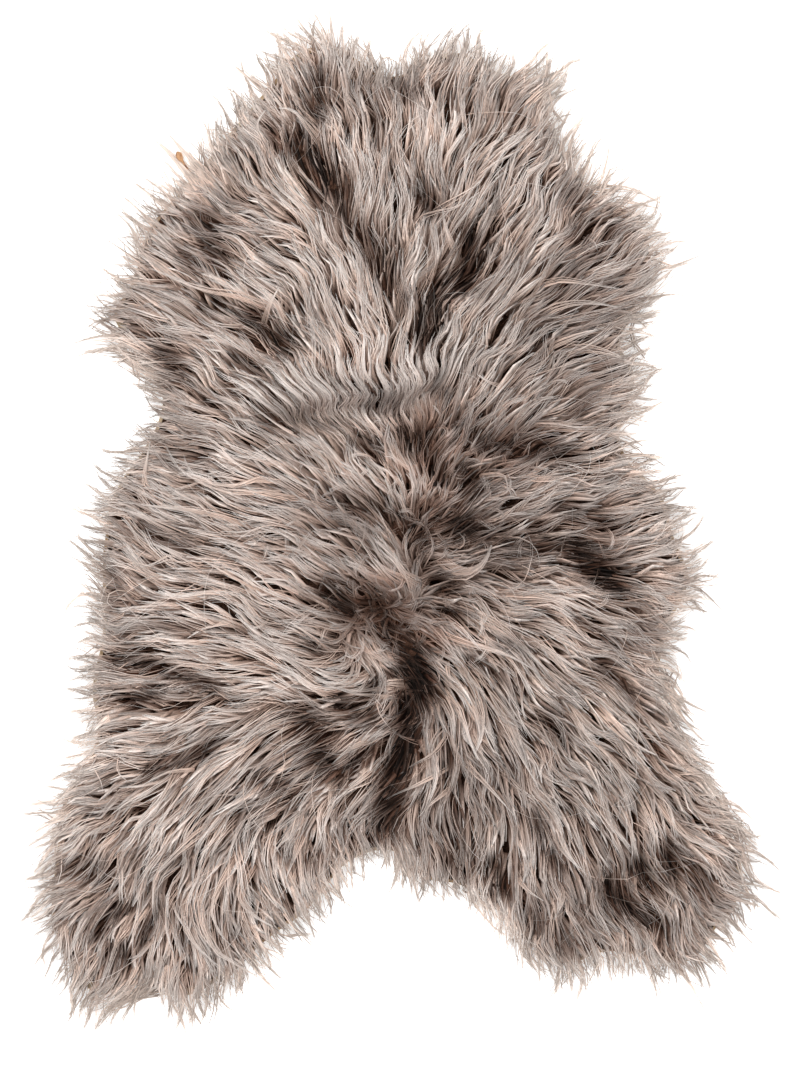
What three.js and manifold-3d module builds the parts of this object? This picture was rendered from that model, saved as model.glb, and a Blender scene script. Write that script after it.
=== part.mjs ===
// A long-wool sheepskin, lying flat with its wool up.
// Millimetres. +X is the skin's right, +Y runs to its neck, +Z is up, and its flat flesh side is at z = 0.
import * as THREE from "three";
import { mergeVertices } from "three/addons/utils/BufferGeometryUtils.js";
import Module from "manifold-3d";

const wasm = await Module();
wasm.setup();

// The pile
const PILE = 60; // wool over the middle of the skin
const RIM = 10; // wool at the edge, where it parts into locks
const SHOULDER = 115; // width of the slope from the pile down to the rim
const LOWEST = 7; // wool left at the bottom of any parting
const GRID = 16; // pitch of the points in the wool's top
const EDGE_PITCH = 19; // pitch of the points along the edge

// The wisps that the pile is combed into
const WISP = { pitch: 44, length: 115, width: 31, rise: 18 };

// The locks that lie on the floor round the edge
const LOCK = { pitch: 22, root: 38, width: 30, rise: 15, bend: 18, lean: 0.25, stray: 15 };

// The bare tip of the skin that shows past the wool by the left shoulder
const TAG = { x: -222, y: 382, angle: 124, length: 44, width: 18, thickness: 2.5 };

// The wool's edge, clockwise from the left of the neck, and how far the longest locks reach past it
const EDGE = [
  { x: -150, y: 505, reach: 45 },
  { x: -112, y: 545, reach: 36 },
  { x: -58, y: 545, reach: 32 },
  { x: -14, y: 512, reach: 22 },
  { x: 30, y: 538, reach: 28 },
  { x: 68, y: 545, reach: 30 },
  { x: 120, y: 513, reach: 34 },
  { x: 160, y: 512, reach: 48 },
  { x: 170, y: 462, reach: 40 },
  { x: 192, y: 418, reach: 42 },
  { x: 222, y: 380, reach: 45 },
  { x: 264, y: 364, reach: 34 },
  { x: 292, y: 308, reach: 34 },
  { x: 280, y: 258, reach: 34 },
  { x: 252, y: 220, reach: 36 },
  { x: 274, y: 170, reach: 30 },
  { x: 250, y: 96, reach: 38 },
  { x: 300, y: 48, reach: 34 },
  { x: 314, y: 0, reach: 42 },
  { x: 332, y: -52, reach: 40 },
  { x: 304, y: -114, reach: 28 },
  { x: 298, y: -172, reach: 32 },
  { x: 332, y: -236, reach: 32 },
  { x: 368, y: -302, reach: 26 },
  { x: 390, y: -345, reach: 32 },
  { x: 376, y: -412, reach: 32 },
  { x: 342, y: -446, reach: 36 },
  { x: 330, y: -474, reach: 38 },
  { x: 286, y: -484, reach: 36 },
  { x: 236, y: -476, reach: 34 },
  { x: 180, y: -486, reach: 36 },
  { x: 124, y: -444, reach: 30 },
  { x: 72, y: -398, reach: 26 },
  { x: 16, y: -386, reach: 22 },
  { x: -10, y: -354, reach: 18 },
  { x: -58, y: -372, reach: 20 },
  { x: -86, y: -418, reach: 26 },
  { x: -142, y: -456, reach: 34 },
  { x: -176, y: -490, reach: 36 },
  { x: -238, y: -528, reach: 38 },
  { x: -276, y: -502, reach: 34 },
  { x: -330, y: -526, reach: 42 },
  { x: -366, y: -486, reach: 38 },
  { x: -398, y: -432, reach: 34 },
  { x: -396, y: -372, reach: 32 },
  { x: -388, y: -306, reach: 34 },
  { x: -346, y: -224, reach: 38 },
  { x: -352, y: -176, reach: 38 },
  { x: -338, y: -110, reach: 38 },
  { x: -340, y: -40, reach: 36 },
  { x: -334, y: 26, reach: 38 },
  { x: -288, y: 104, reach: 34 },
  { x: -274, y: 166, reach: 28 },
  { x: -326, y: 216, reach: 44 },
  { x: -294, y: 282, reach: 42 },
  { x: -284, y: 342, reach: 40 },
  { x: -236, y: 378, reach: 30 },
  { x: -206, y: 428, reach: 34 },
  { x: -176, y: 468, reach: 38 },
];

// The way the wool is combed: degrees from +X towards +Y, in which it points from root to tip
const COMB = [
  { x: -130, y: 520, angle: 116 },
  { x: -30, y: 520, angle: 98 },
  { x: 60, y: 520, angle: 74 },
  { x: 150, y: 500, angle: 52 },
  { x: -160, y: 430, angle: 114 },
  { x: 0, y: 400, angle: 96 },
  { x: 130, y: 390, angle: 62 },
  { x: 240, y: 340, angle: 34 },
  { x: -270, y: 330, angle: 143 },
  { x: -170, y: 310, angle: 148 },
  { x: -60, y: 280, angle: 110 },
  { x: 80, y: 260, angle: 56 },
  { x: 240, y: 240, angle: 16 },
  { x: -300, y: 215, angle: 168 },
  { x: -160, y: 180, angle: 146 },
  { x: 0, y: 160, angle: 92 },
  { x: 120, y: 140, angle: 44 },
  { x: 260, y: 130, angle: 3 },
  { x: -250, y: 90, angle: 160 },
  { x: -60, y: 70, angle: 136 },
  { x: 180, y: 50, angle: 20 },
  { x: -320, y: 0, angle: 162 },
  { x: -150, y: 0, angle: 167 },
  { x: 60, y: 0, angle: 40 },
  { x: 310, y: 0, angle: 22 },
  { x: -60, y: -60, angle: 150 },
  { x: 130, y: -60, angle: -15 },
  { x: 310, y: -90, angle: -20 },
  { x: -330, y: -130, angle: 186 },
  { x: -140, y: -150, angle: 168 },
  { x: 90, y: -160, angle: -50 },
  { x: 280, y: -190, angle: -42 },
  { x: -330, y: -250, angle: 192 },
  { x: -150, y: -260, angle: 204 },
  { x: -20, y: -260, angle: 244 },
  { x: 80, y: -270, angle: 280 },
  { x: 200, y: -290, angle: 302 },
  { x: 370, y: -300, angle: 332 },
  { x: -390, y: -370, angle: 216 },
  { x: -230, y: -350, angle: 224 },
  { x: -110, y: -370, angle: 270 },
  { x: 0, y: -360, angle: 280 },
  { x: 120, y: -410, angle: 272 },
  { x: 280, y: -420, angle: 294 },
  { x: 370, y: -410, angle: 316 },
  { x: -330, y: -490, angle: 238 },
  { x: -200, y: -480, angle: 278 },
  { x: 240, y: -480, angle: 284 },
];

// Where the wool parts or lies low: a trough from one end to the other
const PARTINGS = [
  { x1: -105, y1: 433, x2: -60, y2: 339, wide: 24, deep: 28 },
  { x1: -60, y1: 339, x2: -26, y2: 280, wide: 20, deep: 20 },
  { x1: 110, y1: 339, x2: 70, y2: 280, wide: 22, deep: 18 },
  { x1: 30, y1: 372, x2: 38, y2: 350, wide: 20, deep: 14 },
  { x1: -236, y1: 270, x2: -128, y2: 203, wide: 22, deep: 20 },
  { x1: -100, y1: 128, x2: 36, y2: 134, wide: 22, deep: 14 },
  { x1: 30, y1: 106, x2: 56, y2: 66, wide: 26, deep: 22 },
  { x1: 96, y1: 104, x2: 146, y2: 104, wide: 24, deep: 26 },
  { x1: 64, y1: 60, x2: 44, y2: 22, wide: 24, deep: 18 },
  { x1: 198, y1: -18, x2: 242, y2: -44, wide: 24, deep: 24 },
  { x1: -62, y1: -70, x2: -20, y2: -98, wide: 26, deep: 24 },
  { x1: 12, y1: -130, x2: 24, y2: -182, wide: 26, deep: 44 },
  { x1: 20, y1: -182, x2: -6, y2: -260, wide: 24, deep: 34 },
  { x1: -150, y1: -218, x2: -64, y2: -258, wide: 24, deep: 22 },
  { x1: 262, y1: -352, x2: 312, y2: -424, wide: 26, deep: 24 },
  { x1: -300, y1: -148, x2: -216, y2: -170, wide: 20, deep: 16 },
  { x1: -320, y1: -456, x2: -230, y2: -372, wide: 22, deep: 18 },
  { x1: -8, y1: -356, x2: -2, y2: -300, wide: 30, deep: 20 },
];

const degrees = THREE.MathUtils.degToRad;
const mix = THREE.MathUtils.lerp;
const smooth = THREE.MathUtils.smoothstep;

function numbersFrom(seed) {
  let state = seed;
  return () => {
    state = (Math.imul(state, 1664525) + 1013904223) >>> 0;
    return state / 4294967296;
  };
}

function heading(angle) {
  return new THREE.Vector2(Math.cos(angle), Math.sin(angle));
}

// The comb's direction at a place: the mean of the rows, each by the nearness of its place
function combAt(x, y) {
  const sum = new THREE.Vector2();
  for (const row of COMB) {
    const away = (x - row.x) ** 2 + (y - row.y) ** 2;
    sum.addScaledVector(heading(degrees(row.angle)), 1 / (away + 900) ** 2);
  }
  return sum.normalize();
}

// The edge as an even run of points, each with the locks' reach there
function edgeCurve() {
  const rows = EDGE.map((row) => new THREE.Vector3(row.x, row.y, row.reach));
  return new THREE.CatmullRomCurve3(rows, true, "centripetal");
}

const edge = edgeCurve();
const edgeLength = edge.getLength();
const edgePoints = edge.getSpacedPoints(Math.round(edgeLength / EDGE_PITCH)).slice(0, -1);
const edgeShape = new THREE.Shape(edgePoints.map((point) => new THREE.Vector2(point.x, point.y)));

function distanceToSegment(x, y, ax, ay, bx, by) {
  const along = ((x - ax) * (bx - ax) + (y - ay) * (by - ay)) / ((bx - ax) ** 2 + (by - ay) ** 2);
  const t = THREE.MathUtils.clamp(along, 0, 1);
  return Math.hypot(x - mix(ax, bx, t), y - mix(ay, by, t));
}

function distanceToEdge(x, y) {
  let nearest = Infinity;
  edgePoints.forEach((a, i) => {
    const b = edgePoints[(i + 1) % edgePoints.length];
    nearest = Math.min(nearest, distanceToSegment(x, y, a.x, a.y, b.x, b.y));
  });
  return nearest;
}

// One wisp for each cell of a loose grid over the pelt, lying as the wool is combed there
function makeWisps() {
  const random = numbersFrom(7);
  const wisps = [];
  const box = new THREE.Box2().setFromPoints(edgeShape.getPoints());
  for (let x = box.min.x; x < box.max.x; x += WISP.pitch) {
    for (let y = box.min.y; y < box.max.y; y += WISP.pitch) {
      const at = new THREE.Vector2(x + random() * WISP.pitch, y + random() * WISP.pitch);
      wisps.push({
        at,
        along: combAt(at.x, at.y),
        length: WISP.length * mix(0.7, 1.2, random()),
        width: WISP.width * mix(0.7, 1.2, random()),
        rise: WISP.rise * mix(0.5, 1.3, random()),
      });
    }
  }
  return wisps;
}

const wisps = makeWisps();

// A wisp rises from its root, is highest near its tip and drops off there
function wispRise(wisp, x, y) {
  const dx = x - wisp.at.x;
  const dy = y - wisp.at.y;
  const along = (dx * wisp.along.x + dy * wisp.along.y) / wisp.length;
  const across = (dy * wisp.along.x - dx * wisp.along.y) / wisp.width;
  const profile = smooth(along, -0.6, 0.3) * (1 - smooth(along, 0.3, 0.55));
  return wisp.rise * profile * Math.exp(-across * across * 3);
}

function partingDepth(row, x, y) {
  const away = distanceToSegment(x, y, row.x1, row.y1, row.x2, row.y2) / row.wide;
  return row.deep * Math.exp(-away * away);
}

function pileHeight(x, y) {
  const fromEdge = distanceToEdge(x, y) / SHOULDER;
  const full = Math.min(fromEdge, 1);
  const dome = mix(RIM, PILE, Math.sin((full * Math.PI) / 2));
  const wisp = Math.max(...wisps.map((one) => wispRise(one, x, y)));
  const trough = Math.max(...PARTINGS.map((row) => partingDepth(row, x, y)));
  return Math.max(dome + (wisp - WISP.rise / 2) * mix(0.3, 1, full) - trough * mix(0.4, 1, full), LOWEST);
}

function solidFrom(geometry) {
  geometry.deleteAttribute("normal");
  geometry.deleteAttribute("uv");
  const merged = mergeVertices(geometry);
  const mesh = new wasm.Mesh({
    numProp: 3,
    vertProperties: Float32Array.from(merged.attributes.position.array),
    triVerts: Uint32Array.from(merged.index.array),
  });
  return new wasm.Manifold(mesh);
}

function geometryFrom(solid) {
  const mesh = solid.getMesh();
  const geometry = new THREE.BufferGeometry();
  geometry.setAttribute("position", new THREE.BufferAttribute(mesh.vertProperties, 3));
  geometry.setIndex(new THREE.BufferAttribute(mesh.triVerts, 1));
  return geometry;
}

// The pile as a deep block with a lumpy top, cut to the wool's edge and flat at the floor
function makeSlab() {
  const box = new THREE.Box2().setFromPoints(edgeShape.getPoints()).expandByScalar(GRID);
  const size = box.getSize(new THREE.Vector2());
  const middle = box.getCenter(new THREE.Vector2());
  const across = Math.ceil(size.x / GRID);
  const along = Math.ceil(size.y / GRID);
  const block = new THREE.BoxGeometry(size.x, size.y, PILE, across, along, 1);
  block.translate(middle.x, middle.y, -PILE / 2);
  const places = block.attributes.position;
  for (let i = 0; i < places.count; i++) {
    if (places.getZ(i) > -1) places.setZ(i, pileHeight(places.getX(i), places.getY(i)));
  }
  const cutter = new THREE.ExtrudeGeometry(edgeShape, { depth: 3 * PILE, bevelEnabled: false });
  return solidFrom(block).intersect(solidFrom(cutter));
}

// A lock: three-sided, flat on the floor, from its root in the slab to a point
function makeLock(root, direction, length, width, rise, bend) {
  const side = new THREE.Vector2(-direction.y, direction.x);
  const sections = [
    { along: 0, width: 1, rise: 1 },
    { along: 0.45, width: 0.86, rise: 0.72 },
    { along: 0.76, width: 0.42, rise: 0.34 },
  ];
  const middleAt = (along) =>
    root.clone().addScaledVector(direction, along * length).addScaledVector(side, bend * along * along);
  const places = [];
  for (const section of sections) {
    const middle = middleAt(section.along);
    const half = (section.width * width) / 2;
    const left = middle.clone().addScaledVector(side, half);
    const right = middle.clone().addScaledVector(side, -half);
    places.push(left.x, left.y, 0, right.x, right.y, 0, middle.x, middle.y, section.rise * rise);
  }
  const tip = middleAt(1);
  places.push(tip.x, tip.y, 0);
  const faces = [0, 1, 2];
  for (let i = 0; i < sections.length - 1; i++) {
    for (const [a, b] of [[0, 2], [2, 1], [1, 0]]) {
      const near = 3 * i;
      const far = near + 3;
      faces.push(near + a, near + b, far + b, near + a, far + b, far + a);
    }
  }
  const last = 3 * (sections.length - 1);
  const point = last + 3;
  faces.push(last, last + 2, point, last + 2, last + 1, point, last + 1, last, point);
  const geometry = new THREE.BufferGeometry();
  geometry.setAttribute("position", new THREE.Float32BufferAttribute(places, 3));
  geometry.setIndex(faces);
  return solidFrom(geometry);
}

// Locks all round the edge, each leaning from straight out towards the way the wool is combed
function makeLocks() {
  const random = numbersFrom(23);
  const count = Math.round(edgeLength / LOCK.pitch);
  const locks = [];
  for (let i = 0; i < count; i++) {
    const along = (i + 0.5 * random()) / count;
    const place = edge.getPointAt(along);
    const run = edge.getTangentAt(along);
    const outward = new THREE.Vector2(-run.y, run.x).normalize();
    const direction = combAt(place.x, place.y).lerp(outward, LOCK.lean).normalize();
    direction.rotateAround(new THREE.Vector2(), degrees(LOCK.stray * mix(-1, 1, random())));
    const root = new THREE.Vector2(place.x, place.y).addScaledVector(direction, -LOCK.root);
    const reach = place.z * mix(0.4, 1.05, random());
    const width = LOCK.width * mix(0.6, 1.1, random());
    const bend = LOCK.bend * mix(-1, 1, random());
    locks.push(makeLock(root, direction, LOCK.root + reach, width, LOCK.rise, bend));
  }
  return locks;
}

function makeTag() {
  const shape = new THREE.Shape();
  shape.moveTo(0, -TAG.width / 2);
  shape.quadraticCurveTo(TAG.length * 0.6, -TAG.width / 3, TAG.length, 0);
  shape.quadraticCurveTo(TAG.length * 0.6, TAG.width / 3, 0, TAG.width / 2);
  const tag = new THREE.ExtrudeGeometry(shape, { depth: TAG.thickness, bevelEnabled: false, curveSegments: 4 });
  tag.rotateZ(degrees(TAG.angle));
  tag.translate(TAG.x, TAG.y, 0);
  return solidFrom(tag);
}

function makePelt() {
  let solid = makeSlab();
  for (const lock of makeLocks()) solid = solid.add(lock);
  return geometryFrom(solid.add(makeTag()));
}

const wool = new THREE.MeshStandardMaterial({ color: 0xa89a90, roughness: 0.95, metalness: 0 });
const geometry = makePelt();
geometry.computeBoundingBox();
const middle = geometry.boundingBox.getCenter(new THREE.Vector3());
const pelt = new THREE.Mesh(geometry, wool);
pelt.name = "pelt";
pelt.position.set(-middle.x, -middle.y, 0);

const sheepskin = new THREE.Group();
sheepskin.add(pelt);

export default sheepskin;
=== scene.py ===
# A long-wool sheepskin, laid flat on a pale floor with its wool up.
# Metres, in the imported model's frame: +Y runs to the neck, +Z is up, and the floor is at z = 0.
import math

import bpy
import numpy as np
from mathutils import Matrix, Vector
from mathutils.bvhtree import BVHTree


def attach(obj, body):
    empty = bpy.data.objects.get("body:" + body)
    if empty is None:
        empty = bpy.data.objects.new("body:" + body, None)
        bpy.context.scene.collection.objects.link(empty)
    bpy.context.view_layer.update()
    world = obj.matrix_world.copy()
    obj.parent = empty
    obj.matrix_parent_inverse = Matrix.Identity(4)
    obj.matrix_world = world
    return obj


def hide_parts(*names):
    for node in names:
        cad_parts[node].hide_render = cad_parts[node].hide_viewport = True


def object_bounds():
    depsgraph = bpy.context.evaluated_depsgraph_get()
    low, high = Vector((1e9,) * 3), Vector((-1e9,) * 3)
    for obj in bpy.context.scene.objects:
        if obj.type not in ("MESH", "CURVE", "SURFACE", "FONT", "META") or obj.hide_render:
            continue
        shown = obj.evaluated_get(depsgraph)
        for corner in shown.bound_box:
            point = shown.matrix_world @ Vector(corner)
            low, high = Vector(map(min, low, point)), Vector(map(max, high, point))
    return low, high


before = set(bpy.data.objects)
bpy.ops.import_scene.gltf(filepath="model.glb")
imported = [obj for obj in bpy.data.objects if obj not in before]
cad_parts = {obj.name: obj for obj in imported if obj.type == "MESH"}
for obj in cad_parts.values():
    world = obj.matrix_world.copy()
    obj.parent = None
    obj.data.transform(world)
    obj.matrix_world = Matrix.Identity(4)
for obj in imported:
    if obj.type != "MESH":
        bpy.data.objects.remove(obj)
cadBox = [list(corner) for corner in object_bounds()]
mm = 0.001

pelt = {
    "node": "pelt",
    "pixel": 1.1 * mm,  # one pixel of the photograph on the pelt
    "pictureSize": (800, 1067),
    "pictureCentre": (6.3 * mm, -9.1 * mm),  # where the photograph's middle lies, and the tables' zero
    "heart": (0.0, -29 * mm),  # from that middle, a place in plain sight of every part of the edge
    "edgePitch": 8 * mm,  # between the points of the wool's edge
    "gridPitch": 3 * mm,  # of the maps of height, distance and shade
    "combReach": 30 * mm,  # how near a row of the comb rules alone
    "strokeFade": 0.6,  # how fast a hollow or tuft fades past its half width
    "hollowDip": 0.65,  # the share of the wool's height that a full hollow takes away
    "tuftRise": 4 * mm,
    "tuftPaler": 0.25,
    "floorGap": 0.3 * mm,  # under the skin and the lowest strands
    "mostAboveSolid": 9 * mm,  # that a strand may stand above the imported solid's top
}

# The wool's edge, clockwise from the left of the neck, in millimetres: x, y, and how far the longest wisps
# reach past it
edgeRows = [
    (-150, 505, 46), (-115, 547, 40), (-54, 546, 36), (-14, 514, 26), (30, 538, 30), (68, 546, 32),
    (120, 517, 38), (166, 512, 50), (174, 462, 44), (197, 418, 44), (224, 382, 45), (264, 364, 34),
    (292, 308, 34), (280, 258, 34), (252, 220, 38), (274, 170, 34), (255, 102, 42), (300, 48, 36),
    (314, 0, 44), (332, -52, 42), (306, -114, 32), (300, -172, 34), (326, -238, 30), (362, -304, 26),
    (390, -345, 32), (384, -414, 34), (354, -448, 42), (334, -483, 46), (286, -486, 38), (234, -472, 32),
    (176, -490, 42), (124, -446, 32), (72, -403, 28), (16, -392, 24), (-12, -361, 20), (-58, -378, 24),
    (-86, -420, 28), (-142, -460, 36), (-178, -494, 38), (-244, -530, 44), (-276, -502, 34),
    (-334, -532, 46), (-368, -488, 40), (-398, -432, 34), (-394, -372, 32), (-384, -306, 34),
    (-346, -224, 38), (-353, -176, 42), (-341, -110, 42), (-341, -40, 40), (-335, 26, 40), (-317, 68, 38),
    (-290, 106, 36), (-275, 160, 32), (-334, 228, 50), (-306, 284, 48), (-290, 342, 46), (-246, 392, 36),
    (-212, 432, 40), (-181, 470, 44),
]

# The way the wool is combed: x, y in millimetres, then degrees from +X towards +Y, from root to tip
combRows = [
    (-130, 520, 116), (-30, 520, 98), (60, 520, 74), (150, 500, 52), (-160, 430, 114), (0, 400, 96),
    (130, 390, 62), (240, 340, 34), (-270, 330, 143), (-170, 310, 148), (-60, 280, 110), (80, 260, 56),
    (240, 240, 16), (-300, 215, 168), (-160, 180, 146), (0, 160, 92), (120, 140, 44), (260, 130, 3),
    (-250, 90, 160), (-60, 70, 136), (180, 50, 20), (-320, 0, 162), (-150, 0, 167), (60, 0, 40),
    (310, 0, 22), (-60, -60, 150), (130, -60, -15), (310, -90, -20), (-330, -130, 186), (-140, -150, 168),
    (90, -160, -50), (280, -190, -42), (-330, -250, 192), (-150, -260, 204), (-20, -260, 244),
    (80, -270, 280), (200, -290, 302), (370, -300, 332), (-390, -370, 216), (-230, -350, 224),
    (-110, -370, 270), (0, -360, 280), (120, -410, 272), (280, -420, 294), (370, -410, 316),
    (-330, -490, 238), (-200, -480, 278), (240, -480, 284),
]

# More of the comb, where it turns sharply: x and y in pixels of the photograph, then degrees
combTurns = [
    (440, 640, 330), (480, 640, 325), (400, 640, 322), (366, 645, 312), (320, 640, 155), (320, 680, 152),
    (350, 690, 182), (440, 690, 292), (480, 690, 308), (440, 725, 280), (440, 762, 256), (480, 762, 294),
    (400, 762, 238), (360, 762, 222), (320, 756, 208), (385, 725, 206), (400, 562, 122), (362, 562, 146),
    (440, 545, 330), (480, 556, 10), (520, 560, 350), (560, 562, 354), (600, 566, 350), (400, 520, 135),
    (440, 520, 30), (480, 520, 12), (520, 520, 16), (360, 520, 168), (320, 520, 164), (400, 480, 104),
    (440, 480, 84), (480, 480, 34), (520, 480, 20), (360, 480, 126), (320, 480, 138), (400, 440, 112),
    (440, 440, 72), (480, 440, 42), (520, 440, 20), (560, 440, 16), (360, 440, 132), (320, 440, 132),
    (280, 440, 146), (440, 400, 64), (480, 400, 46), (520, 400, 36), (400, 400, 82), (360, 400, 98),
    (320, 400, 120), (280, 400, 138), (200, 900, 280), (240, 900, 294), (240, 860, 256), (200, 860, 248),
    (280, 902, 312), (320, 900, 296), (560, 860, 290), (560, 902, 272), (600, 900, 291), (640, 900, 300),
    (720, 902, 315), (520, 860, 281), (480, 860, 271), (440, 860, 288), (600, 600, 338), (560, 640, 328),
]

# The tables that follow are in pixels of the photograph too.
# Hollows and partings, where the wool dips and its roots show, and where the strands are also painted darker
# as shade: x1, y1, x2, y2, half width, strength
hollows = [
    (318, 85, 316, 115, 12, 0.7), (272, 130, 276, 145, 8, 0.6), (300, 148, 330, 190, 13, 1.3),
    (330, 190, 350, 225, 9, 0.6), (360, 235, 380, 265, 11, 0.65), (380, 265, 405, 310, 8, 0.35),
    (420, 195, 428, 210, 7, 0.7), (376, 120, 378, 150, 6, 0.45), (400, 85, 415, 100, 8, 0.4),
    (470, 235, 466, 285, 10, 0.95), (440, 285, 424, 340, 10, 0.8), (495, 210, 490, 250, 6, 0.35),
    (575, 200, 580, 240, 12, 0.5), (615, 215, 600, 255, 8, 0.4), (200, 225, 215, 255, 16, 0.5),
    (180, 255, 195, 275, 10, 0.45), (205, 305, 240, 318, 7, 0.6), (250, 325, 285, 345, 11, 0.95),
    (240, 362, 262, 380, 8, 0.55), (165, 355, 175, 375, 9, 0.6), (180, 380, 215, 405, 6, 0.35),
    (110, 325, 130, 330, 10, 0.35), (270, 420, 300, 425, 9, 0.55), (300, 424, 350, 424, 7, 0.5),
    (340, 390, 370, 395, 8, 0.55), (370, 405, 400, 410, 8, 0.55), (430, 385, 442, 392, 8, 0.55),
    (355, 440, 380, 450, 9, 0.6), (405, 440, 425, 445, 12, 0.95), (430, 465, 442, 480, 9, 0.8),
    (465, 470, 470, 488, 9, 0.8), (480, 445, 550, 447, 10, 0.8), (545, 450, 565, 455, 10, 0.6),
    (585, 415, 590, 420, 9, 0.5), (455, 425, 470, 440, 10, 0.6), (170, 452, 205, 455, 7, 0.4),
    (145, 530, 190, 540, 9, 0.45), (350, 505, 380, 510, 9, 0.5), (395, 520, 420, 535, 11, 0.8),
    (425, 505, 445, 512, 9, 0.7), (455, 525, 475, 535, 12, 0.9), (500, 540, 545, 550, 10, 0.5),
    (535, 530, 560, 545, 8, 0.6), (560, 505, 575, 520, 9, 0.5), (575, 550, 615, 580, 11, 1.3),
    (595, 520, 605, 530, 8, 0.5), (435, 577, 450, 586, 8, 0.6), (240, 590, 250, 600, 8, 0.3),
    (325, 590, 350, 610, 9, 0.8), (370, 600, 392, 634, 12, 0.8), (402, 642, 418, 655, 9, 1.15),
    (411, 662, 424, 692, 10, 2.2), (410, 700, 404, 760, 9, 1.75), (395, 770, 385, 830, 11, 1.1),
    (440, 610, 460, 612, 5, 0.6), (370, 690, 376, 684, 7, 0.6), (340, 702, 370, 718, 9, 0.6),
    (305, 715, 320, 735, 12, 0.9), (320, 755, 335, 775, 10, 0.85), (350, 765, 375, 745, 6, 0.6),
    (260, 775, 285, 785, 10, 0.6), (452, 755, 462, 850, 9, 0.28), (455, 860, 465, 870, 10, 0.5),
    (495, 865, 500, 890, 9, 0.85), (535, 815, 555, 860, 6, 0.6), (530, 910, 540, 925, 9, 0.5),
    (560, 925, 565, 945, 7, 0.5), (545, 715, 560, 735, 9, 0.45), (580, 620, 600, 635, 8, 0.5),
    (600, 665, 640, 700, 7, 0.45), (500, 640, 530, 650, 5, 0.35), (470, 655, 500, 675, 5, 0.45),
    (640, 865, 650, 885, 9, 1.0), (665, 850, 675, 870, 10, 0.8), (610, 885, 630, 910, 10, 0.85),
    (640, 910, 665, 930, 9, 0.7), (690, 860, 700, 880, 10, 0.5), (115, 660, 150, 665, 9, 0.75),
    (150, 665, 215, 690, 7, 0.6), (125, 695, 155, 695, 7, 0.7), (150, 770, 210, 750, 6, 0.6),
    (205, 750, 225, 735, 5, 0.45), (110, 780, 130, 785, 6, 0.35), (160, 625, 240, 630, 5, 0.35),
    (310, 645, 320, 650, 8, 0.35), (60, 870, 100, 865, 12, 0.45), (100, 930, 125, 905, 8, 0.6),
    (115, 960, 125, 950, 9, 0.65), (145, 940, 160, 910, 6, 0.5), (285, 850, 290, 860, 6, 0.4),
    (305, 860, 315, 855, 7, 0.35), (115, 580, 120, 600, 8, 0.35),
]

# Raised, paler tufts: x1, y1, x2, y2, half width, strength
tufts = [
    (285, 205, 300, 235, 13, 0.5), (335, 150, 360, 190, 8, 0.35), (345, 270, 375, 340, 12, 0.5),
    (340, 355, 380, 375, 16, 0.8), (395, 340, 405, 375, 12, 0.7), (400, 270, 410, 285, 8, 0.5),
    (425, 115, 440, 135, 12, 0.4), (395, 150, 400, 190, 8, 0.4), (170, 275, 240, 300, 8, 0.7),
    (255, 280, 275, 295, 12, 0.4), (430, 365, 470, 340, 10, 0.5), (510, 410, 540, 415, 9, 0.5),
    (230, 460, 245, 475, 10, 0.6), (310, 435, 345, 465, 8, 0.45), (350, 475, 400, 475, 13, 0.9),
    (405, 458, 425, 486, 10, 1.2), (530, 480, 545, 485, 8, 0.7), (490, 500, 510, 510, 6, 0.4),
    (130, 590, 240, 610, 10, 0.5), (240, 570, 300, 580, 14, 0.55), (350, 565, 385, 575, 10, 1.5),
    (395, 560, 405, 575, 7, 1.1), (445, 565, 490, 568, 7, 0.9), (430, 540, 440, 530, 6, 0.5),
    (450, 610, 480, 650, 12, 1.15), (470, 590, 560, 590, 10, 0.5), (540, 610, 580, 640, 8, 0.4),
    (360, 645, 385, 655, 9, 0.8), (350, 692, 390, 696, 8, 0.7), (265, 670, 300, 685, 14, 0.6),
    (465, 690, 478, 740, 9, 0.8), (415, 785, 430, 775, 9, 0.7), (505, 700, 540, 780, 10, 0.4),
    (515, 800, 520, 850, 9, 0.45), (600, 700, 640, 760, 10, 0.5), (640, 740, 690, 800, 8, 0.4),
    (330, 780, 322, 820, 7, 0.8), (130, 800, 180, 840, 20, 0.5), (205, 770, 240, 755, 10, 0.6),
    (165, 710, 190, 725, 10, 0.5), (215, 715, 260, 715, 10, 0.4), (110, 680, 160, 680, 5, 0.4),
    (240, 890, 245, 860, 6, 0.6), (205, 870, 200, 930, 8, 0.5), (150, 900, 130, 930, 5, 0.5),
    (560, 890, 565, 910, 6, 0.5), (700, 820, 730, 850, 10, 0.3),
]

# Where the brown undercoat comes through: x, y, radius, strength
brownPlaces = [
    (436, 447, 50, 0.8), (509, 452, 40, 0.7), (445, 515, 45, 0.75), (373, 602, 45, 0.95),
    (427, 634, 38, 0.8), (598, 560, 36, 0.6), (482, 552, 50, 0.4), (409, 706, 40, 0.4),
    (345, 525, 60, 0.42), (300, 585, 60, 0.25), (394, 622, 28, 1.0), (405, 646, 20, 0.9),
    (416, 684, 14, 0.7), (408, 740, 16, 0.5),
]

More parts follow.
